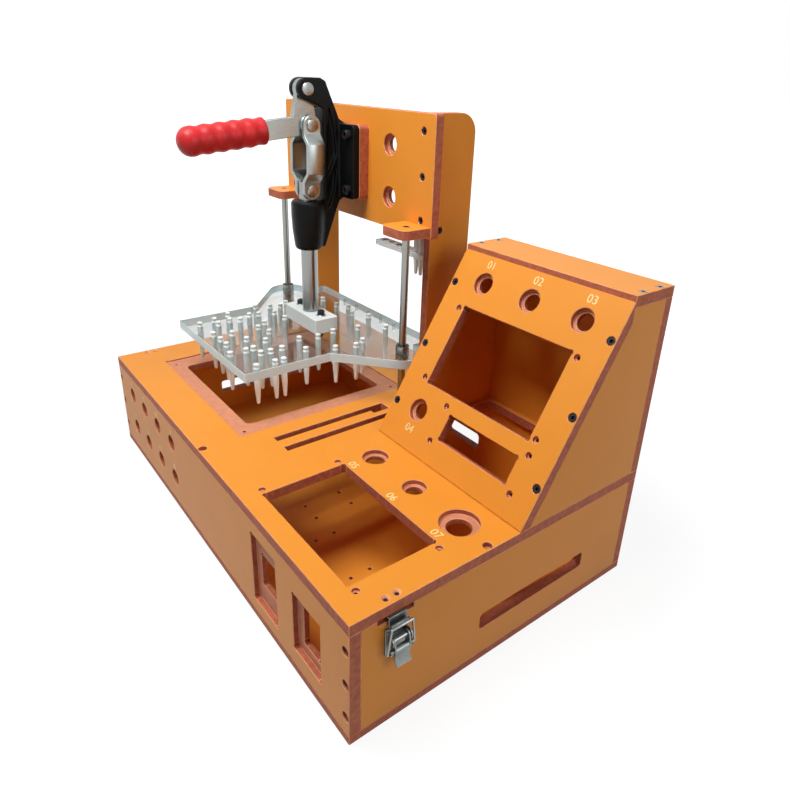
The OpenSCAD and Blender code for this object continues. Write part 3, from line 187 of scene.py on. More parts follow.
class MetalLook(bpy.types.PropertyGroup):
    """Colours of the metal pieces and the grip"""

    steel: bpy.props.FloatVectorProperty(
        name="Steel", description="Colour of ground steel", subtype="COLOR", default=(0.30, 0.31, 0.30)
    )
    zinc: bpy.props.FloatVectorProperty(
        name="Zinc", description="Colour of zinc plate", subtype="COLOR", default=(0.34, 0.37, 0.36)
    )
    # Also painted into the sunk sockets and the keeper screws' cut ends as painted shade
    black: bpy.props.FloatVectorProperty(
        name="Black oxide", description="Colour of the black screws", subtype="COLOR",
        default=(0.008, 0.008, 0.009)
    )
    cast: bpy.props.FloatVectorProperty(
        name="Casting", description="Colour of the cast clamp body", subtype="COLOR",
        default=(0.0035, 0.004, 0.004)
    )
    grip: bpy.props.FloatVectorProperty(
        name="Grip", description="Colour of the dipped grip", subtype="COLOR", default=(0.56, 0.018, 0.022)
    )


class ClearLook(bpy.types.PropertyGroup):
    """Colours of the clear and translucent plastics"""

    acrylic: bpy.props.FloatVectorProperty(
        name="Acrylic", description="Tint of the clear acrylic", subtype="COLOR",
        default=(0.20, 0.36, 0.38)
    )
    frosted: bpy.props.FloatVectorProperty(
        name="Frosted", description="Colour of the press plate's sawn sides", subtype="COLOR",
        default=(0.70, 0.92, 1.0)
    )
    pin: bpy.props.FloatVectorProperty(
        name="Push pin", description="Colour of the push pins and the milled acrylic", subtype="COLOR",
        default=(0.92, 1.0, 1.0)
    )


class StageLook(bpy.types.PropertyGroup):
    """Camera and stage"""

    place: bpy.props.FloatVectorProperty(
        name="Camera place", description="Where the camera stands", subtype="TRANSLATION", unit="LENGTH",
        default=(0.5335, -0.3358, 0.4519)
    )
    azimuth: bpy.props.FloatProperty(
        name="Azimuth", description="Camera's direction round the object", subtype="ANGLE",
        default=math.radians(51.62)
    )
    elevation: bpy.props.FloatProperty(
        name="Elevation", description="Camera's angle above the horizon", subtype="ANGLE",
        default=math.radians(23.29)
    )
    roll: bpy.props.FloatProperty(
        name="Roll", description="Camera's roll", subtype="ANGLE", default=math.radians(2.08)
    )
    focal_px: bpy.props.FloatProperty(
        name="Focal length", description="Focal length in pixels of the square image", default=644.2
    )
    centre_px: bpy.props.FloatVectorProperty(
        name="Principal point", description="Where the lens axis meets the image, in pixels", size=2,
        default=(405.1, 352.2)
    )
    floor: bpy.props.FloatVectorProperty(
        name="Floor", description="Colour of the floor", subtype="COLOR", default=(0.42, 0.42, 0.42)
    )
    floor_glow: bpy.props.FloatProperty(
        name="Floor white", description="White that the floor shows the camera", default=1.22, min=0
    )
    floor_share: bpy.props.FloatProperty(
        name="Share of white", description="How much of the floor's look is that white", default=0.75,
        min=0, max=1
    )
    fade_start: bpy.props.FloatProperty(
        name="Fade start", description="Where the floor starts to fade to white", unit="LENGTH",
        default=0.35, min=0
    )
    fade_end: bpy.props.FloatProperty(
        name="Fade end", description="Where the floor is all white", unit="LENGTH", default=0.75, min=0
    )
    surround: bpy.props.FloatProperty(
        name="Surround", description="Strength of the even light from all round", default=0.06, min=0
    )
    backdrop: bpy.props.FloatProperty(
        name="Backdrop", description="White of the backdrop where it is seen", default=1.0, min=0
    )


LOOKS = {
    "fixture_sheet": SheetLook,
    "fixture_metal": MetalLook,
    "fixture_clear": ClearLook,
    "fixture_stage": StageLook,
}


# Materials


def new_material(name, colour, roughness, metallic=0.0, **sockets):
    """A principled material with its plain values on the shader's own sockets."""
    material = bpy.data.materials.new(name)
    material.use_nodes = True
    shader = material.node_tree.nodes["Principled BSDF"]
    shader.inputs["Base Color"].default_value = (*colour, 1)
    shader.inputs["Roughness"].default_value = roughness
    shader.inputs["Metallic"].default_value = metallic
    for key, value in sockets.items():
        shader.inputs[key.replace("_", " ")].default_value = value
    return material


def noise_on(material, scale, detail=4, stretch=(1, 1, 1)):
    """A noise texture in the piece's own coordinates, with scale in repeats per metre."""
    nodes, links = material.node_tree.nodes, material.node_tree.links
    place = nodes.new("ShaderNodeTexCoord")
    mapping = nodes.new("ShaderNodeMapping")
    mapping.inputs["Scale"].default_value = stretch
    noise = nodes.new("ShaderNodeTexNoise")
    noise.inputs["Scale"].default_value = scale
    noise.inputs["Detail"].default_value = detail
    links.new(place.outputs["Object"], mapping.inputs["Vector"])
    links.new(mapping.outputs["Vector"], noise.inputs["Vector"])
    return noise.outputs["Fac"]


def shade_by(material, factor, low, high, start=0.35, end=0.65):
    """The base colour runs from low to high with the factor."""
    nodes, links = material.node_tree.nodes, material.node_tree.links
    ramp = nodes.new("ShaderNodeValToRGB")
    ramp.color_ramp.elements[0].position = start
    ramp.color_ramp.elements[0].color = (*low, 1)
    ramp.color_ramp.elements[1].position = end
    ramp.color_ramp.elements[1].color = (*high, 1)
    links.new(factor, ramp.inputs["Fac"])
    links.new(ramp.outputs["Color"], nodes["Principled BSDF"].inputs["Base Color"])


def gloss_by(material, factor, low, high):
    """The roughness runs from low to high with the factor."""
    nodes, links = material.node_tree.nodes, material.node_tree.links
    spread = nodes.new("ShaderNodeMapRange")
    spread.inputs["To Min"].default_value = low
    spread.inputs["To Max"].default_value = high
    links.new(factor, spread.inputs["Value"])
    links.new(spread.outputs["Result"], nodes["Principled BSDF"].inputs["Roughness"])


def bump_by(material, factor, strength, distance):
    """The surface rises with the factor."""
    nodes, links = material.node_tree.nodes, material.node_tree.links
    bump = nodes.new("ShaderNodeBump")
    bump.inputs["Strength"].default_value = strength
    bump.inputs["Distance"].default_value = distance
    links.new(factor, bump.inputs["Height"])
    links.new(bump.outputs["Normal"], nodes["Principled BSDF"].inputs["Normal"])


def tint(colour, gain):
    """A lighter or darker colour."""
    return tuple(min(1.0, channel * gain) for channel in colour)


def mottle(material, colour, scale, low, high):
    """The base colour varies in patches between two shares of a colour."""
    shade_by(material, noise_on(material, scale), tint(colour, low), tint(colour, high))


def sheet_materials(look):
    """Face, cut edge, milled step and arris of the laminate, in the order of their places; the arris colour is
    partly a painted highlight.
    """
    face = new_material("laminate_face", look.face, roughness=0.42, Specular_IOR_Level=0.22)
    mottle(face, look.face, scale=26, low=0.985, high=1.015)
    grain = noise_on(face, scale=900, detail=2)
    gloss_by(face, grain, low=0.4, high=0.44)
    bump_by(face, grain, strength=0.04, distance=0.05 * MM)
    edge = new_material("laminate_edge", look.edge, roughness=0.6, Specular_IOR_Level=0.2)
    mottle(edge, look.edge, scale=220, low=0.85, high=1.15)
    bump_by(edge, noise_on(edge, scale=1500, detail=2), strength=0.25, distance=0.1 * MM)
    step = new_material("laminate_step", look.step, roughness=0.55, Specular_IOR_Level=0.25)
    mottle(step, look.step, scale=160, low=0.94, high=1.06)
    # The broken corners are painted paler: partly sanded laminate, partly a painted highlight
    arris = new_material("laminate_arris_and_highlight", look.arris, roughness=0.5)
    mottle(arris, look.arris, scale=120, low=0.85, high=1.15)
    return [face, edge, step, arris]


def steel_material(name, colour, low, high, scale, stretch=(1, 1, 1)):
    """Metal whose polish varies in fine streaks."""
    material = new_material(name, colour, roughness=low, metallic=1.0)
    streak = noise_on(material, scale, 3, stretch)
    gloss_by(material, streak, low, high)
    shade_by(material, streak, low=tint(colour, 0.9), high=tint(colour, 1.05))
    return material


def black_material(look):
    """Black oxide on the socket screws, also used as painted shade in the sunk sockets and at the keeper screws'
    cut ends.
    """
    material = new_material("black_oxide", look.black, roughness=0.4, Specular_IOR_Level=0.3)
    gloss_by(material, noise_on(material, scale=700), low=0.32, high=0.5)
    return material


def cast_material(look):
    """Black textured paint on the casting."""
    material = new_material("black_casting", look.cast, roughness=0.32, Specular_IOR_Level=0.12)
    grain = noise_on(material, scale=800, detail=5)
    gloss_by(material, grain, low=0.2, high=0.4)
    bump_by(material, grain, strength=0.95, distance=0.5 * MM)
    return material


def grip_material(look):
    """Dipped vinyl with a faint orange peel."""
    material = new_material("red_grip", look.grip, roughness=0.42, Specular_IOR_Level=0.3)
    peel = noise_on(material, scale=420, detail=3)
    mottle(material, look.grip, scale=60, low=0.86, high=1.12)
    bump_by(material, peel, strength=0.22, distance=0.3 * MM)
    return material


def acrylic_material(look):
    """Clear cast sheet with polished faces."""
    material = new_material(
        "clear_acrylic", look.acrylic, roughness=0.03, Transmission_Weight=1.0, IOR=1.49, Alpha=0.35
    )
    gloss_by(material, noise_on(material, scale=40), low=0.015, high=0.06)
    return material


def frosted_material(name, colour, clearness):
    """Sawn or milled plastic that lets some light through."""
    material = new_material(name, colour, roughness=0.4, Transmission_Weight=clearness, IOR=1.45)
    gloss_by(material, noise_on(material, scale=500), low=0.3, high=0.48)
    return material


# Meshes


def sharpen(bm, angle=SHARP_ANGLE):
    """Smooth faces, with the edges above the angle and between two materials kept sharp."""
    for face in bm.faces:
        face.smooth = True
    for edge in bm.edges:
        alike = len({face.material_index for face in edge.link_faces}) == 1
        edge.smooth = alike and (not edge.is_manifold or edge.calc_face_angle(0) < angle)


def opened(node, shape=None):
    """A welded copy of a CAD node's mesh, with its flat triangles joined. shape moves its points."""
    bm = bmesh.new()
    bm.from_mesh(NODES[node].data)
    bmesh.ops.remove_doubles(bm, verts=bm.verts, dist=WELD)
    bmesh.ops.dissolve_limit(bm, angle_limit=FLAT_ANGLE, verts=bm.verts, edges=bm.edges)
    if shape:
        for vert in bm.verts:
            shape(vert.co)
    return bm


def break_corners(bm, width, segments=1, material=-1):
    """Bevels the sharp edges."""
    edges = [edge for edge in bm.edges if edge.is_manifold and edge.calc_face_angle(0) > CORNER_ANGLE]
    bmesh.ops.bevel(bm, geom=edges, offset=width, offset_type="OFFSET", segments=segments, profile=0.6,
                    affect="EDGES", clamp_overlap=False, material=material)


def piece_from(bm, name, materials):
    """An object made of the mesh."""
    mesh = bpy.data.meshes.new(name)
    bm.to_mesh(mesh)
    bm.free()
    for material in materials:
        mesh.materials.append(material)
    piece = bpy.data.objects.new(name, mesh)
    bpy.context.scene.collection.objects.link(piece)
    return piece


def stand_in(piece, node):
    """The piece takes the place of the CAD node."""
    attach(piece, BODY_OF[node])
    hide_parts(node)


def show(bm, node, materials):
    """The mesh becomes the piece that stands in for the CAD node."""
    sharpen(bm)
    stand_in(piece_from(bm, node + "_look", materials), node)


def dress(node, materials, width, segments=1, choose=None, shape=None):
    """A copy of the node with broken corners. choose gives each face its material."""
    bm = opened(node, shape)
    if choose:
        for face in bm.faces:
            face.material_index = choose(face)
    break_corners(bm, width, segments)
    show(bm, node, materials)


def shorten_below(level, share, lean=0.0):
    """A shape that keeps a share of the length below a level, and leans it towards the box."""

    def shorten(point):
        drop = (level - point.z) * share
        if drop > 0:
            point.z = level - drop
            point.x -= math.copysign(drop * lean, point.x)

    return shorten


def narrow_about(middle, share):
    """A shape that keeps a share of the width about a middle."""

    def narrow(point):
        point.y = middle + (point.y - middle) * share

    return narrow


def lift_above(level):
    """A shape that draws the sloped panel's foot up its slope to a level."""

    def lift(point):
        if point.z < level:
            point += UP_SLOPE * ((level - point.z) / UP_SLOPE.z)

    return lift


def dress_sheet(node, out, materials, width, shape=None):
    """A laminate sheet: faces, cut edges, milled steps and pale arrises, whose paleness is partly a painted
    highlight.
    """
    bm = opened(node, shape)
    heights = [out.dot(vert.co) for vert in bm.verts]
    low, high = min(heights), max(heights)
    for face in bm.faces:
        height = out.dot(face.calc_center_median())
        lean = abs(out.dot(face.normal))
        if lean < UPRIGHT:
            face.material_index = EDGE
        elif lean < LEVEL:
            face.material_index = ARRIS_AND_HIGHLIGHT
        elif min(abs(height - low), abs(height - high)) < SAME_PLACE:
            face.material_index = FACE
        else:
            face.material_index = STEP
    # The bevels take the arris colour, which is partly a painted highlight
    break_corners(bm, width, material=ARRIS_AND_HIGHLIGHT)
    show(bm, node, materials)


def outer_ring(bm):
    """The upright faces of a level plate's outside, told from its holes by their width."""
    left = {face for face in bm.faces if abs(face.normal.z) < UPRIGHT}
    ring = set()
    while left:
        group = {left.pop()}
        fresh = set(group)
        while fresh:
            near = {other for face in fresh for edge in face.edges for other in edge.link_faces}
            fresh = near & left
            left -= fresh
            group |= fresh
        across = [vert.co.x for face in group for vert in face.verts]
        if max(across) - min(across) > WIDEST_HOLE:
            ring |= group
    return ring


def sink_sockets(bm, out, radius, depth, material):
    """Sinks a round socket into each face that looks outwards at the top of a screw, and paints the socket with
    the material as painted shade.
    """
    top = max(out.dot(vert.co) for vert in bm.verts)
    level = [face for face in bm.faces if out.dot(face.normal) > LEVEL]
    heads = [face for face in level if abs(out.dot(face.calc_center_median()) - top) < SAME_PLACE]
    for head in heads:
        middle = head.calc_center_median()
        reach = max((vert.co - middle).length for vert in head.verts)
        bmesh.ops.inset_individual(bm, faces=[head], thickness=reach - radius)
        head.material_index = material
        walls = bmesh.ops.extrude_discrete_faces(bm, faces=[head])["faces"]
        bmesh.ops.translate(bm, vec=-out * depth, verts=[vert for face in walls for vert in face.verts])
        for face in walls:
            face.material_index = material
            for edge in face.edges:
                for side in edge.link_faces:
                    side.material_index = material


def tube(name, points, radius, material, sides=8):
    """A round wire through the points."""
    bm = bmesh.new()
    angles = [2 * math.pi * k / sides for k in range(sides)]
    round_points = [Vector((radius * math.cos(angle), radius * math.sin(angle), 0)) for angle in angles]
    rings = []
    for i, point in enumerate(points):
        ahead = points[min(i + 1, len(points) - 1)] - points[max(i - 1, 0)]
        turn = ahead.to_track_quat("Z", "Y").to_matrix().to_4x4()
        place = Matrix.Translation(point) @ turn
        rings.append([bm.verts.new(place @ round_point) for round_point in round_points])
    for low, high in zip(rings, rings[1:]):
        for k in range(sides):
            bm.faces.new((low[k], low[(k + 1) % sides], high[(k + 1) % sides], high[k]))
    bm.faces.new(reversed(rings[0]))
    bm.faces.new(rings[-1])
    sharpen(bm, WIRE_ANGLE)
    return piece_from(bm, name, [material])


# Operators


class FIXTURE_OT_sheets(bpy.types.Operator):
    """Dress the laminate sheets of the box, the control box and the press frame"""

    bl_idname = "fixture.sheets"
    bl_label = "Laminate sheets"

    def execute(self, context):
        look = context.scene.fixture_sheet
        materials = sheet_materials(look)
        foot = lift_above(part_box("top_plate")[1][2] + look.seam)
        for node, out in SHEETS.items():
            dress_sheet(node, out, materials, look.arris_width, foot if node == "panel_front" else None)
        return {"FINISHED"}


class FIXTURE_OT_screws(bpy.types.Operator):
    """Dress the black and the plated screws"""

    bl_idname = "fixture.screws"
    bl_label = "Screws"

    washer: bpy.props.FloatProperty(
        name="Washer", description="Height of the washers under the block screws", unit="LENGTH",
        default=1.0 * MM
    )
    socket_radius: bpy.props.FloatProperty(
        name="Socket", description="Radius of the sockets in the countersunk heads", unit="LENGTH",
        default=1.7 * MM
    )
    socket_depth: bpy.props.FloatProperty(
        name="Socket depth", description="Depth of the sockets in the countersunk heads", unit="LENGTH",
        default=1.6 * MM
    )
    keeper_drop: bpy.props.FloatProperty(
        name="Keeper drop", description="How far the keeper screws end below the deck's face", unit="LENGTH",
        default=1.5 * MM
    )

    def execute(self, context):
        look = context.scene.fixture_metal
        black = black_material(look)
        plated = steel_material("plated_screw", look.zinc, low=0.25, high=0.4, scale=500)
        for node in ("wall_screws", "panel_cap_screws", "cross_plate_screws", "brace_screws", "rod_screws",
                     "clamp_screws"):
            dress(node, [black], CORNER["screw"])
        dress("bottom_screws", [plated], CORNER["bottom screw"])
        # The black material also stands as painted shade in the sockets and the keeper sinks
        self.sunk_heads(plated, black)
        self.keeper_screws(plated, black)
        self.block_screws(plated, black)
        return {"FINISHED"}

    def block_screws(self, plated, black):
        """The screws of the mounting block, black over plated washers."""
        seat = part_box("mounting_block")[1][2]
        middle = seat + self.washer / 2
        reach = self.washer / 2 + SAME_PLACE

        def on_washer(face):
            return int(abs(face.calc_center_median().z - middle) < reach)

        dress("block_screws", [black, plated], CORNER["block screw"], choose=on_washer)

    def sunk_heads(self, plated, black):
        """The countersunk screws of the top panel, with sockets painted black as painted shade."""
        bm = opened("panel_top_screws")
        # The sockets take the black material, as painted shade
        sink_sockets(bm, Z_AXIS, self.socket_radius, self.socket_depth, material=1)
        show(bm, "panel_top_screws", [plated, black])

    def keeper_screws(self, plated, black):
        """The keeper screws end low in their sinks, which show as pale rings round a dark middle; the dark middle
        is the cut ends painted black, as painted shade.
        """
        bm = opened("keeper_screws")
        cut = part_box("top_plate")[1][2] - self.keeper_drop
        bmesh.ops.bisect_plane(bm, geom=bm.verts[:] + bm.edges[:] + bm.faces[:], plane_co=Z_AXIS * cut,
                               plane_no=Z_AXIS, clear_outer=True)
        ends = bmesh.ops.holes_fill(bm, edges=[edge for edge in bm.edges if edge.is_boundary])["faces"]
        # The cut ends take the black material, as painted shade in the sinks
        for face in ends:
            face.material_index = 1
        show(bm, "keeper_screws", [plated, black])


class FIXTURE_OT_clamp(bpy.types.Operator):
    """Dress the toggle clamp: casting, handle, grip, links and pins"""

    bl_idname = "fixture.clamp"
    bl_label = "Toggle clamp"

    voxel: bpy.props.FloatProperty(
        name="Voxel", description="Grain of the rounded casting", unit="LENGTH", default=0.9 * MM
    )
    rounding: bpy.props.IntProperty(
        name="Rounding", description="How many times the casting is smoothed", default=5
    )

    def execute(self, context):
        look = context.scene.fixture_metal
        zinc = steel_material("zinc_plate", look.zinc, low=0.26, high=0.42, scale=260, stretch=(1, 1, 6))
        steel = steel_material("ground_pin", look.steel, low=0.18, high=0.3, scale=600)
        self.casting(context, cast_material(look))
        dress("handle_bar", [zinc], CORNER["handle"])
        for node in ("left_link", "right_link"):
            dress(node, [zinc], CORNER["link"])
        for node in ("upper_pivot_pin", "lower_pivot_pin", "elbow_rivets"):
            dress(node, [steel], CORNER["pivot"], segments=2)
        dress("handle_grip", [grip_material(look)], CORNER["grip"], segments=3)
        return {"FINISHED"}

    def casting(self, context, material):
        """The casting, remeshed and smoothed so that every corner is round."""
        piece = piece_from(opened("clamp_body"), "clamp_body_look", [material])
        remesh = piece.modifiers.new("Grain", "REMESH")
        remesh.mode = "VOXEL"
        remesh.voxel_size = self.voxel
        remesh.use_smooth_shade = True
        smooth = piece.modifiers.new("Round", "SMOOTH")
        smooth.factor = 0.5
        smooth.iterations = self.rounding
        graph = context.evaluated_depsgraph_get()
        rounded = bpy.data.meshes.new_from_object(piece.evaluated_get(graph))
        piece.modifiers.clear()
        piece.data = rounded
        stand_in(piece, "clamp_body")


class FIXTURE_OT_guides(bpy.types.Operator):
    """Dress the plunger, the guide rods and the bushes"""

    bl_idname = "fixture.guides"
    bl_label = "Plunger and guides"

    def execute(self, context):
        look = context.scene.fixture_metal
        ground = steel_material("ground_rod", look.steel, low=0.16, high=0.3, scale=300, stretch=(1, 1, 14))
        bush = steel_material("bush_steel", look.steel, low=0.2, high=0.34, scale=500)
        for node in ("plunger_rod", "left_guide_rod", "right_guide_rod"):
            dress(node, [ground], CORNER["rod"])
        seal = new_material("bush_seal", look.black, roughness=0.5)

        def end(face):
            return int(abs(face.normal.z) > LEVEL)

        for node in ("left_bush", "right_bush"):
            dress(node, [bush, seal], CORNER["bush"], segments=2, choose=end)
        return {"FINISHED"}


class FIXTURE_OT_press_plate(bpy.types.Operator):
    """Dress the clear press plate, its block, the spare pin rack and the push pins"""

    bl_idname = "fixture.press_plate"
    bl_label = "Press plate"

    def execute(self, context):
        look = context.scene.fixture_clear
        self.plate(acrylic_material(look), frosted_material("sawn_acrylic", look.frosted, clearness=0.12))
        milled = frosted_material("milled_acrylic", look.pin, clearness=0.1)
        for node in ("mounting_block", "pin_rack"):
            dress(node, [milled], CORNER["acrylic"])
        moulded = frosted_material("frosted_plastic", look.pin, clearness=0.08)
        for node in ("push_pins", "rack_pins"):
            dress(node, [moulded], CORNER["push pin"])
        return {"FINISHED"}

    def plate(self, polished, sawn):
        """The press plate: polished faces and sawn sides."""
        bm = opened("press_plate")
        for face in outer_ring(bm):
            face.material_index = 1
        break_corners(bm, CORNER["acrylic"])
        show(bm, "press_plate", [polished, sawn])


class FIXTURE_OT_latches(bpy.types.Operator):
    """Dress the draw latches and the hinges, and add the latch springs"""

    bl_idname = "fixture.latches"
    bl_label = "Latches and hinges"

    # The latches' zinc is painted darker than the other zinc by this share, as painted shade
    shade: bpy.props.FloatProperty(
        name="Shade", description="Brightness of the latches' plate against the other zinc", default=0.65,
        min=0
    )
    blade_start: bpy.props.FloatProperty(
        name="Blade start", description="Where the lever's blade starts below the bail's axle", unit="LENGTH",
        default=4 * MM
    )
    blade_share: bpy.props.FloatProperty(
        name="Blade", description="Share of the lever blade's length that is kept", default=0.38, min=0.3,
        max=1
    )
    blade_lean: bpy.props.FloatProperty(
        name="Lean", description="How far the lever blade leans towards the box for each unit of its length",
        default=0.42, min=0, max=0.5
    )
    foot_share: bpy.props.FloatProperty(
        name="Foot", description="Share of the base plate below the bail's axle that is kept", default=0.5,
        min=0.3, max=1
    )
    bail_share: bpy.props.FloatProperty(
        name="Bail", description="Share of the bail's width that is kept", default=0.85, min=0.8, max=1
    )
    coil_turns: bpy.props.IntProperty(name="Turns", description="Turns of a latch spring", default=4)
    coil_steps: bpy.props.IntProperty(name="Steps", description="Points in a turn of a spring", default=14)
    coil_wire: bpy.props.FloatProperty(
        name="Spring wire", description="Radius of the spring wire", unit="LENGTH", default=0.3 * MM
    )
    coil_radius: bpy.props.FloatProperty(
        name="Spring radius", description="Radius of a latch spring", unit="LENGTH", default=1.9 * MM
    )
    coil_pitch: bpy.props.FloatProperty(
        name="Pitch", description="Rise of a turn of a spring, in radii of its wire", default=2.3
    )
    coil_gap: bpy.props.FloatProperty(
        name="Spring gap", description="Gap between a spring and the lever", unit="LENGTH", default=0.4 * MM
    )

    def execute(self, context):
        look = context.scene.fixture_metal
        # The latches take a darker copy of the zinc, as painted shade
        zinc = steel_material("latch_zinc_painted_shade", tint(look.zinc, self.shade), low=0.24, high=0.4, scale=340)
        wire = steel_material("latch_wire", look.steel, low=0.15, high=0.25, scale=800)
        joints = {joint["name"]: joint for joint in frame["joints"]}
        for side in ("left", "right"):
            axle = Vector(joints[side + "_bail_turn"]["pos_m"])
            foot = shorten_below(axle.z, self.foot_share)
            blade = shorten_below(axle.z - self.blade_start, self.blade_share, self.blade_lean)
            loop = narrow_about(axle.y, self.bail_share)
            dress(side + "_keeper", [zinc], CORNER["latch"])
            dress(side + "_latch_base", [zinc], CORNER["latch"], shape=foot)
            dress(side + "_latch_lever", [zinc], CORNER["latch"], shape=blade)
            for part in ("hinge_base_leaf", "hinge_deck_leaf"):
                dress(side + "_" + part, [zinc], CORNER["hinge"])
            dress(side + "_latch_bail", [wire], CORNER["bail"], shape=loop)
            self.springs(side, axle, wire)
        for node in ("hinge_pins", "latch_pins"):
            dress(node, [wire], CORNER["hinge"])
        return {"FINISHED"}

    def springs(self, side, axle, material):
        """A small coil on the bail's axle at each side of the lever."""
        low, high = (Vector(corner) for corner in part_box(side + "_latch_lever"))
        for end, way, start in (("front", -1, low.y - self.coil_gap), ("rear", 1, high.y + self.coil_gap)):
            points = []
            for i in range(self.coil_turns * self.coil_steps + 1):
                turns = i / self.coil_steps
                angle = 2 * math.pi * turns
                along = start + way * turns * self.coil_pitch * self.coil_wire
                x = axle.x + self.coil_radius * math.cos(angle)
                z = axle.z + self.coil_radius * math.sin(angle)
                points.append(Vector((x, along, z)))
            coil = tube(side + "_latch_spring_" + end, points, self.coil_wire, material)
            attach(coil, side + "_latch_bail")


class FIXTURE_OT_labels(bpy.types.Operator):
    """Write plain numbers beside the lamp, switch, button and jack holes"""

    bl_idname = "fixture.labels"
    bl_label = "Numbers"

    height: bpy.props.FloatProperty(
        name="Height", description="Letter size of the numbers on the deck", unit="LENGTH", default=11 * MM
    )
    small: bpy.props.FloatProperty(
        name="Small", description="Letter size of the numbers on the front wall", unit="LENGTH",
        default=9 * MM
    )
    lamp_rise: bpy.props.FloatProperty(
        name="Lamp rise", description="Height of a number over its lamp hole", unit="LENGTH", default=19 * MM
    )
    switch_drop: bpy.props.FloatProperty(
        name="Switch drop", description="Distance of the number under the switch hole", unit="LENGTH",
        default=20 * MM
    )
    button_drop: bpy.props.FloatProperty(
        name="Button drop", description="Distance of a number in front of its button hole", unit="LENGTH",
        default=25 * MM
    )
    jack_rise: bpy.props.FloatProperty(
        name="Jack rise", description="Height of a number over its jack hole", unit="LENGTH", default=14 * MM
    )
    lift: bpy.props.FloatProperty(
        name="Lift", description="Height of the numbers' middle over the sheet", unit="LENGTH",
        default=0.05 * MM
    )
    half_depth: bpy.props.FloatProperty(
        name="Half depth", description="Half the thickness of the numbers", unit="LENGTH", default=0.04 * MM
    )

    def execute(self, context):
        colour = context.scene.fixture_sheet.label
        material = new_material("engraved_number", colour, roughness=0.6)
        mottle(material, colour, scale=300, low=0.85, high=1)
        for k, side in enumerate(("left", "middle", "right")):
            lamp = self.mouth("lamp_hole_" + side, SLOPE_OUT) + UP_SLOPE * self.lamp_rise
            self.number(context, FIRST_LAMP + k, lamp, UP_SLOPE, SLOPE_OUT, material)
            button = self.mouth("deck_button_hole_" + side, Z_AXIS) - Y_AXIS * self.button_drop
            self.number(context, FIRST_BUTTON + k, button, Y_AXIS, Z_AXIS, material)
        switch = self.mouth("switch_hole", SLOPE_OUT) - UP_SLOPE * self.switch_drop
        self.number(context, SWITCH, switch, UP_SLOPE, SLOPE_OUT, material)
        self.jack_numbers(context, material)
        return {"FINISHED"}

    def jack_numbers(self, context, material):
        """A number over each of the eight jack holes."""
        front = -Y_AXIS
        middle = self.mouth("jack_holes_outer", front) + Z_AXIS * self.jack_rise
        outer, inner = MOUNTS["jack_holes_outer"]["dims"], MOUNTS["jack_holes_inner"]["dims"]
        out_x = outer["spacing_x_mm"] / 2 * MM
        in_x = inner["spacing_x_mm"] / 2 * MM
        half_z = outer["spacing_y_mm"] / 2 * MM
        columns = (-out_x, -in_x, in_x, out_x)
        places = [Vector((x, 0, z)) for z in (half_z, -half_z) for x in columns]
        for k, place in enumerate(places):
            self.number(context, FIRST_JACK + k, middle + place, Z_AXIS, front, material, self.small, "base")

    def mouth(self, mount, out):
        """The middle of a stepped hole, or of a pattern of them, on the sheet's face."""
        return Vector(MOUNTS[mount]["pos_m"]) + out * MOUNT_DEPTH

    def number(self, context, count, place, up, out, material, size=None, body="lid"):
        """A flat number of two digits that rides on a body."""
        digits = "%02d" % count
        name = "number_" + digits
        curve = bpy.data.curves.new(name, "FONT")
        curve.body = digits
        curve.size = size or self.height
        curve.align_x = "CENTER"
        curve.align_y = "CENTER"
        curve.extrude = self.half_depth
        writing = bpy.data.objects.new(name + "_outline", curve)
        context.scene.collection.objects.link(writing)
        graph = context.evaluated_depsgraph_get()
        mesh = bpy.data.meshes.new_from_object(writing.evaluated_get(graph))
        bpy.data.objects.remove(writing)
        right = up.cross(out)
        turn = Matrix((right, up, out)).transposed().to_4x4()
        mesh.transform(Matrix.Translation(place + out * self.lift) @ turn)
        mesh.materials.clear()
        mesh.materials.append(material)
        piece = bpy.data.objects.new(name, mesh)
        context.scene.collection.objects.link(piece)
        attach(piece, body)


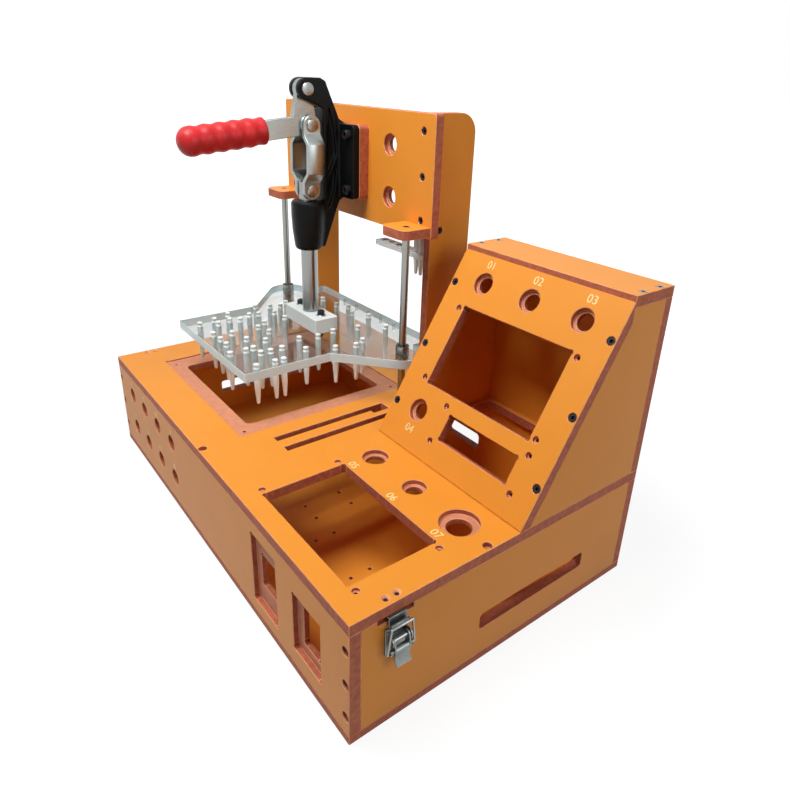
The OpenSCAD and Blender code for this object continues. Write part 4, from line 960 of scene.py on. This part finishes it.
class FIXTURE_OT_stage(bpy.types.Operator):
    """Set up the floor, the lights and the camera"""

    bl_idname = "fixture.stage"
    bl_label = "Studio stage"

    def execute(self, context):
        look = context.scene.fixture_stage
        context.scene.view_settings.view_transform = "Standard"
        self.floor(context, look)
        self.world(context, look)
        for name, values in LAMPS.items():
            self.lamp(context, name, *values)
        self.camera(context, look)
        return {"FINISHED"}

    def floor(self, context, look):
        """A wide pale floor just under the box, white where it is seen, with the object's shadow on it."""
        bm = bmesh.new()
        bmesh.ops.create_grid(bm, x_segments=1, y_segments=1, size=FLOOR_SIZE)
        material = new_material("pale_floor", look.floor, roughness=0.9)
        nodes, links = material.node_tree.nodes, material.node_tree.links
        glow = nodes.new("ShaderNodeEmission")
        glow.inputs["Strength"].default_value = look.floor_glow
        place = nodes.new("ShaderNodeTexCoord")
        away = nodes.new("ShaderNodeVectorMath")
        away.operation = "LENGTH"
        links.new(place.outputs["Object"], away.inputs[0])
        fade = nodes.new("ShaderNodeMapRange")
        fade.inputs["From Min"].default_value = look.fade_start
        fade.inputs["From Max"].default_value = look.fade_end
        fade.inputs["To Min"].default_value = look.floor_share
        links.new(away.outputs["Value"], fade.inputs["Value"])
        share = nodes.new("ShaderNodeMath")
        share.operation = "MULTIPLY"
        mix = nodes.new("ShaderNodeMixShader")
        links.new(self.seen(material.node_tree), share.inputs[0])
        links.new(fade.outputs["Result"], share.inputs[1])
        links.new(share.outputs["Value"], mix.inputs["Fac"])
        links.new(nodes["Principled BSDF"].outputs["BSDF"], mix.inputs[1])
        links.new(glow.outputs["Emission"], mix.inputs[2])
        links.new(mix.outputs["Shader"], nodes["Material Output"].inputs["Surface"])
        floor = piece_from(bm, "floor", [material])
        floor.location.z = -FLOOR_DROP

    def seen(self, tree):
        """1 for rays from the camera, from metal and from glass."""
        nodes, links = tree.nodes, tree.links
        path = nodes.new("ShaderNodeLightPath")
        direct = nodes.new("ShaderNodeMath")
        direct.operation = "MAXIMUM"
        links.new(path.outputs["Is Camera Ray"], direct.inputs[0])
        links.new(path.outputs["Is Transmission Ray"], direct.inputs[1])
        every = nodes.new("ShaderNodeMath")
        every.operation = "MAXIMUM"
        links.new(direct.outputs["Value"], every.inputs[0])
        links.new(path.outputs["Is Glossy Ray"], every.inputs[1])
        return every.outputs["Value"]

    def world(self, context, look):
        """An even pale surround, white where it is seen."""
        world = bpy.data.worlds.new("studio")
        context.scene.world = world
        world.use_nodes = True
        nodes, links = world.node_tree.nodes, world.node_tree.links
        soft = nodes["Background"]
        soft.inputs["Color"].default_value = (1, 1, 1, 1)
        soft.inputs["Strength"].default_value = look.surround
        white = nodes.new("ShaderNodeBackground")
        white.inputs["Color"].default_value = (1, 1, 1, 1)
        white.inputs["Strength"].default_value = look.backdrop
        mix = nodes.new("ShaderNodeMixShader")
        links.new(self.seen(world.node_tree), mix.inputs["Fac"])
        links.new(soft.outputs["Background"], mix.inputs[1])
        links.new(white.outputs["Background"], mix.inputs[2])
        links.new(mix.outputs["Shader"], nodes["World Output"].inputs["Surface"])

    def lamp(self, context, name, place, target, size, watts):
        """A square soft light that faces its target."""
        light = bpy.data.lights.new(name, "AREA")
        light.size = size
        light.energy = watts
        lamp = bpy.data.objects.new(name, light)
        lamp.location = place
        lamp.rotation_euler = (Vector(target) - Vector(place)).to_track_quat("-Z", "Y").to_euler()
        context.scene.collection.objects.link(lamp)

    def camera(self, context, look):
        """The camera at the photograph's viewing angle."""
        data = bpy.data.cameras.new("camera")
        data.sensor_width = 36
        data.sensor_fit = "HORIZONTAL"
        data.lens = look.focal_px / IMAGE_SIZE * data.sensor_width
        data.shift_x = 0.5 - look.centre_px[0] / IMAGE_SIZE
        data.shift_y = look.centre_px[1] / IMAGE_SIZE - 0.5
        data.clip_start = 0.01
        camera = bpy.data.objects.new("camera", data)
        az, el, roll = look.azimuth, look.elevation, look.roll
        back = Vector((math.sin(az) * math.cos(el), -math.cos(az) * math.cos(el), math.sin(el)))
        level = Vector((math.cos(az), math.sin(az), 0))
        rise = back.cross(level)
        right = level * math.cos(roll) + rise * math.sin(roll)
        up = rise * math.cos(roll) - level * math.sin(roll)
        camera.matrix_world = Matrix.Translation(look.place) @ Matrix((right, up, back)).transposed().to_4x4()
        context.scene.collection.objects.link(camera)
        context.scene.camera = camera


class FIXTURE_PT_panel(bpy.types.Panel):
    """Lists the fixture's operators"""

    bl_idname = "FIXTURE_PT_panel"
    bl_label = "Board Test Fixture"
    bl_space_type = "VIEW_3D"
    bl_region_type = "UI"
    bl_category = "Fixture"

    def draw(self, context):
        for operator in OPERATORS:
            self.layout.operator(operator.bl_idname)


OPERATORS = (
    FIXTURE_OT_sheets,
    FIXTURE_OT_screws,
    FIXTURE_OT_clamp,
    FIXTURE_OT_guides,
    FIXTURE_OT_press_plate,
    FIXTURE_OT_latches,
    FIXTURE_OT_labels,
    FIXTURE_OT_stage,
)


def register():
    for look in LOOKS.values():
        bpy.utils.register_class(look)
    for name, look in LOOKS.items():
        setattr(bpy.types.Scene, name, bpy.props.PointerProperty(type=look))
    for operator in OPERATORS:
        bpy.utils.register_class(operator)
    bpy.utils.register_class(FIXTURE_PT_panel)


def unregister():
    bpy.utils.unregister_class(FIXTURE_PT_panel)
    for operator in reversed(OPERATORS):
        bpy.utils.unregister_class(operator)
    for name in LOOKS:
        delattr(bpy.types.Scene, name)
    for look in reversed(LOOKS.values()):
        bpy.utils.unregister_class(look)


def main():
    register()
    bpy.ops.fixture.sheets()
    bpy.ops.fixture.screws()
    bpy.ops.fixture.clamp()
    bpy.ops.fixture.guides()
    bpy.ops.fixture.press_plate()
    bpy.ops.fixture.latches()
    bpy.ops.fixture.labels()
    bpy.ops.fixture.stage()


if __name__ == "__main__":
    main()
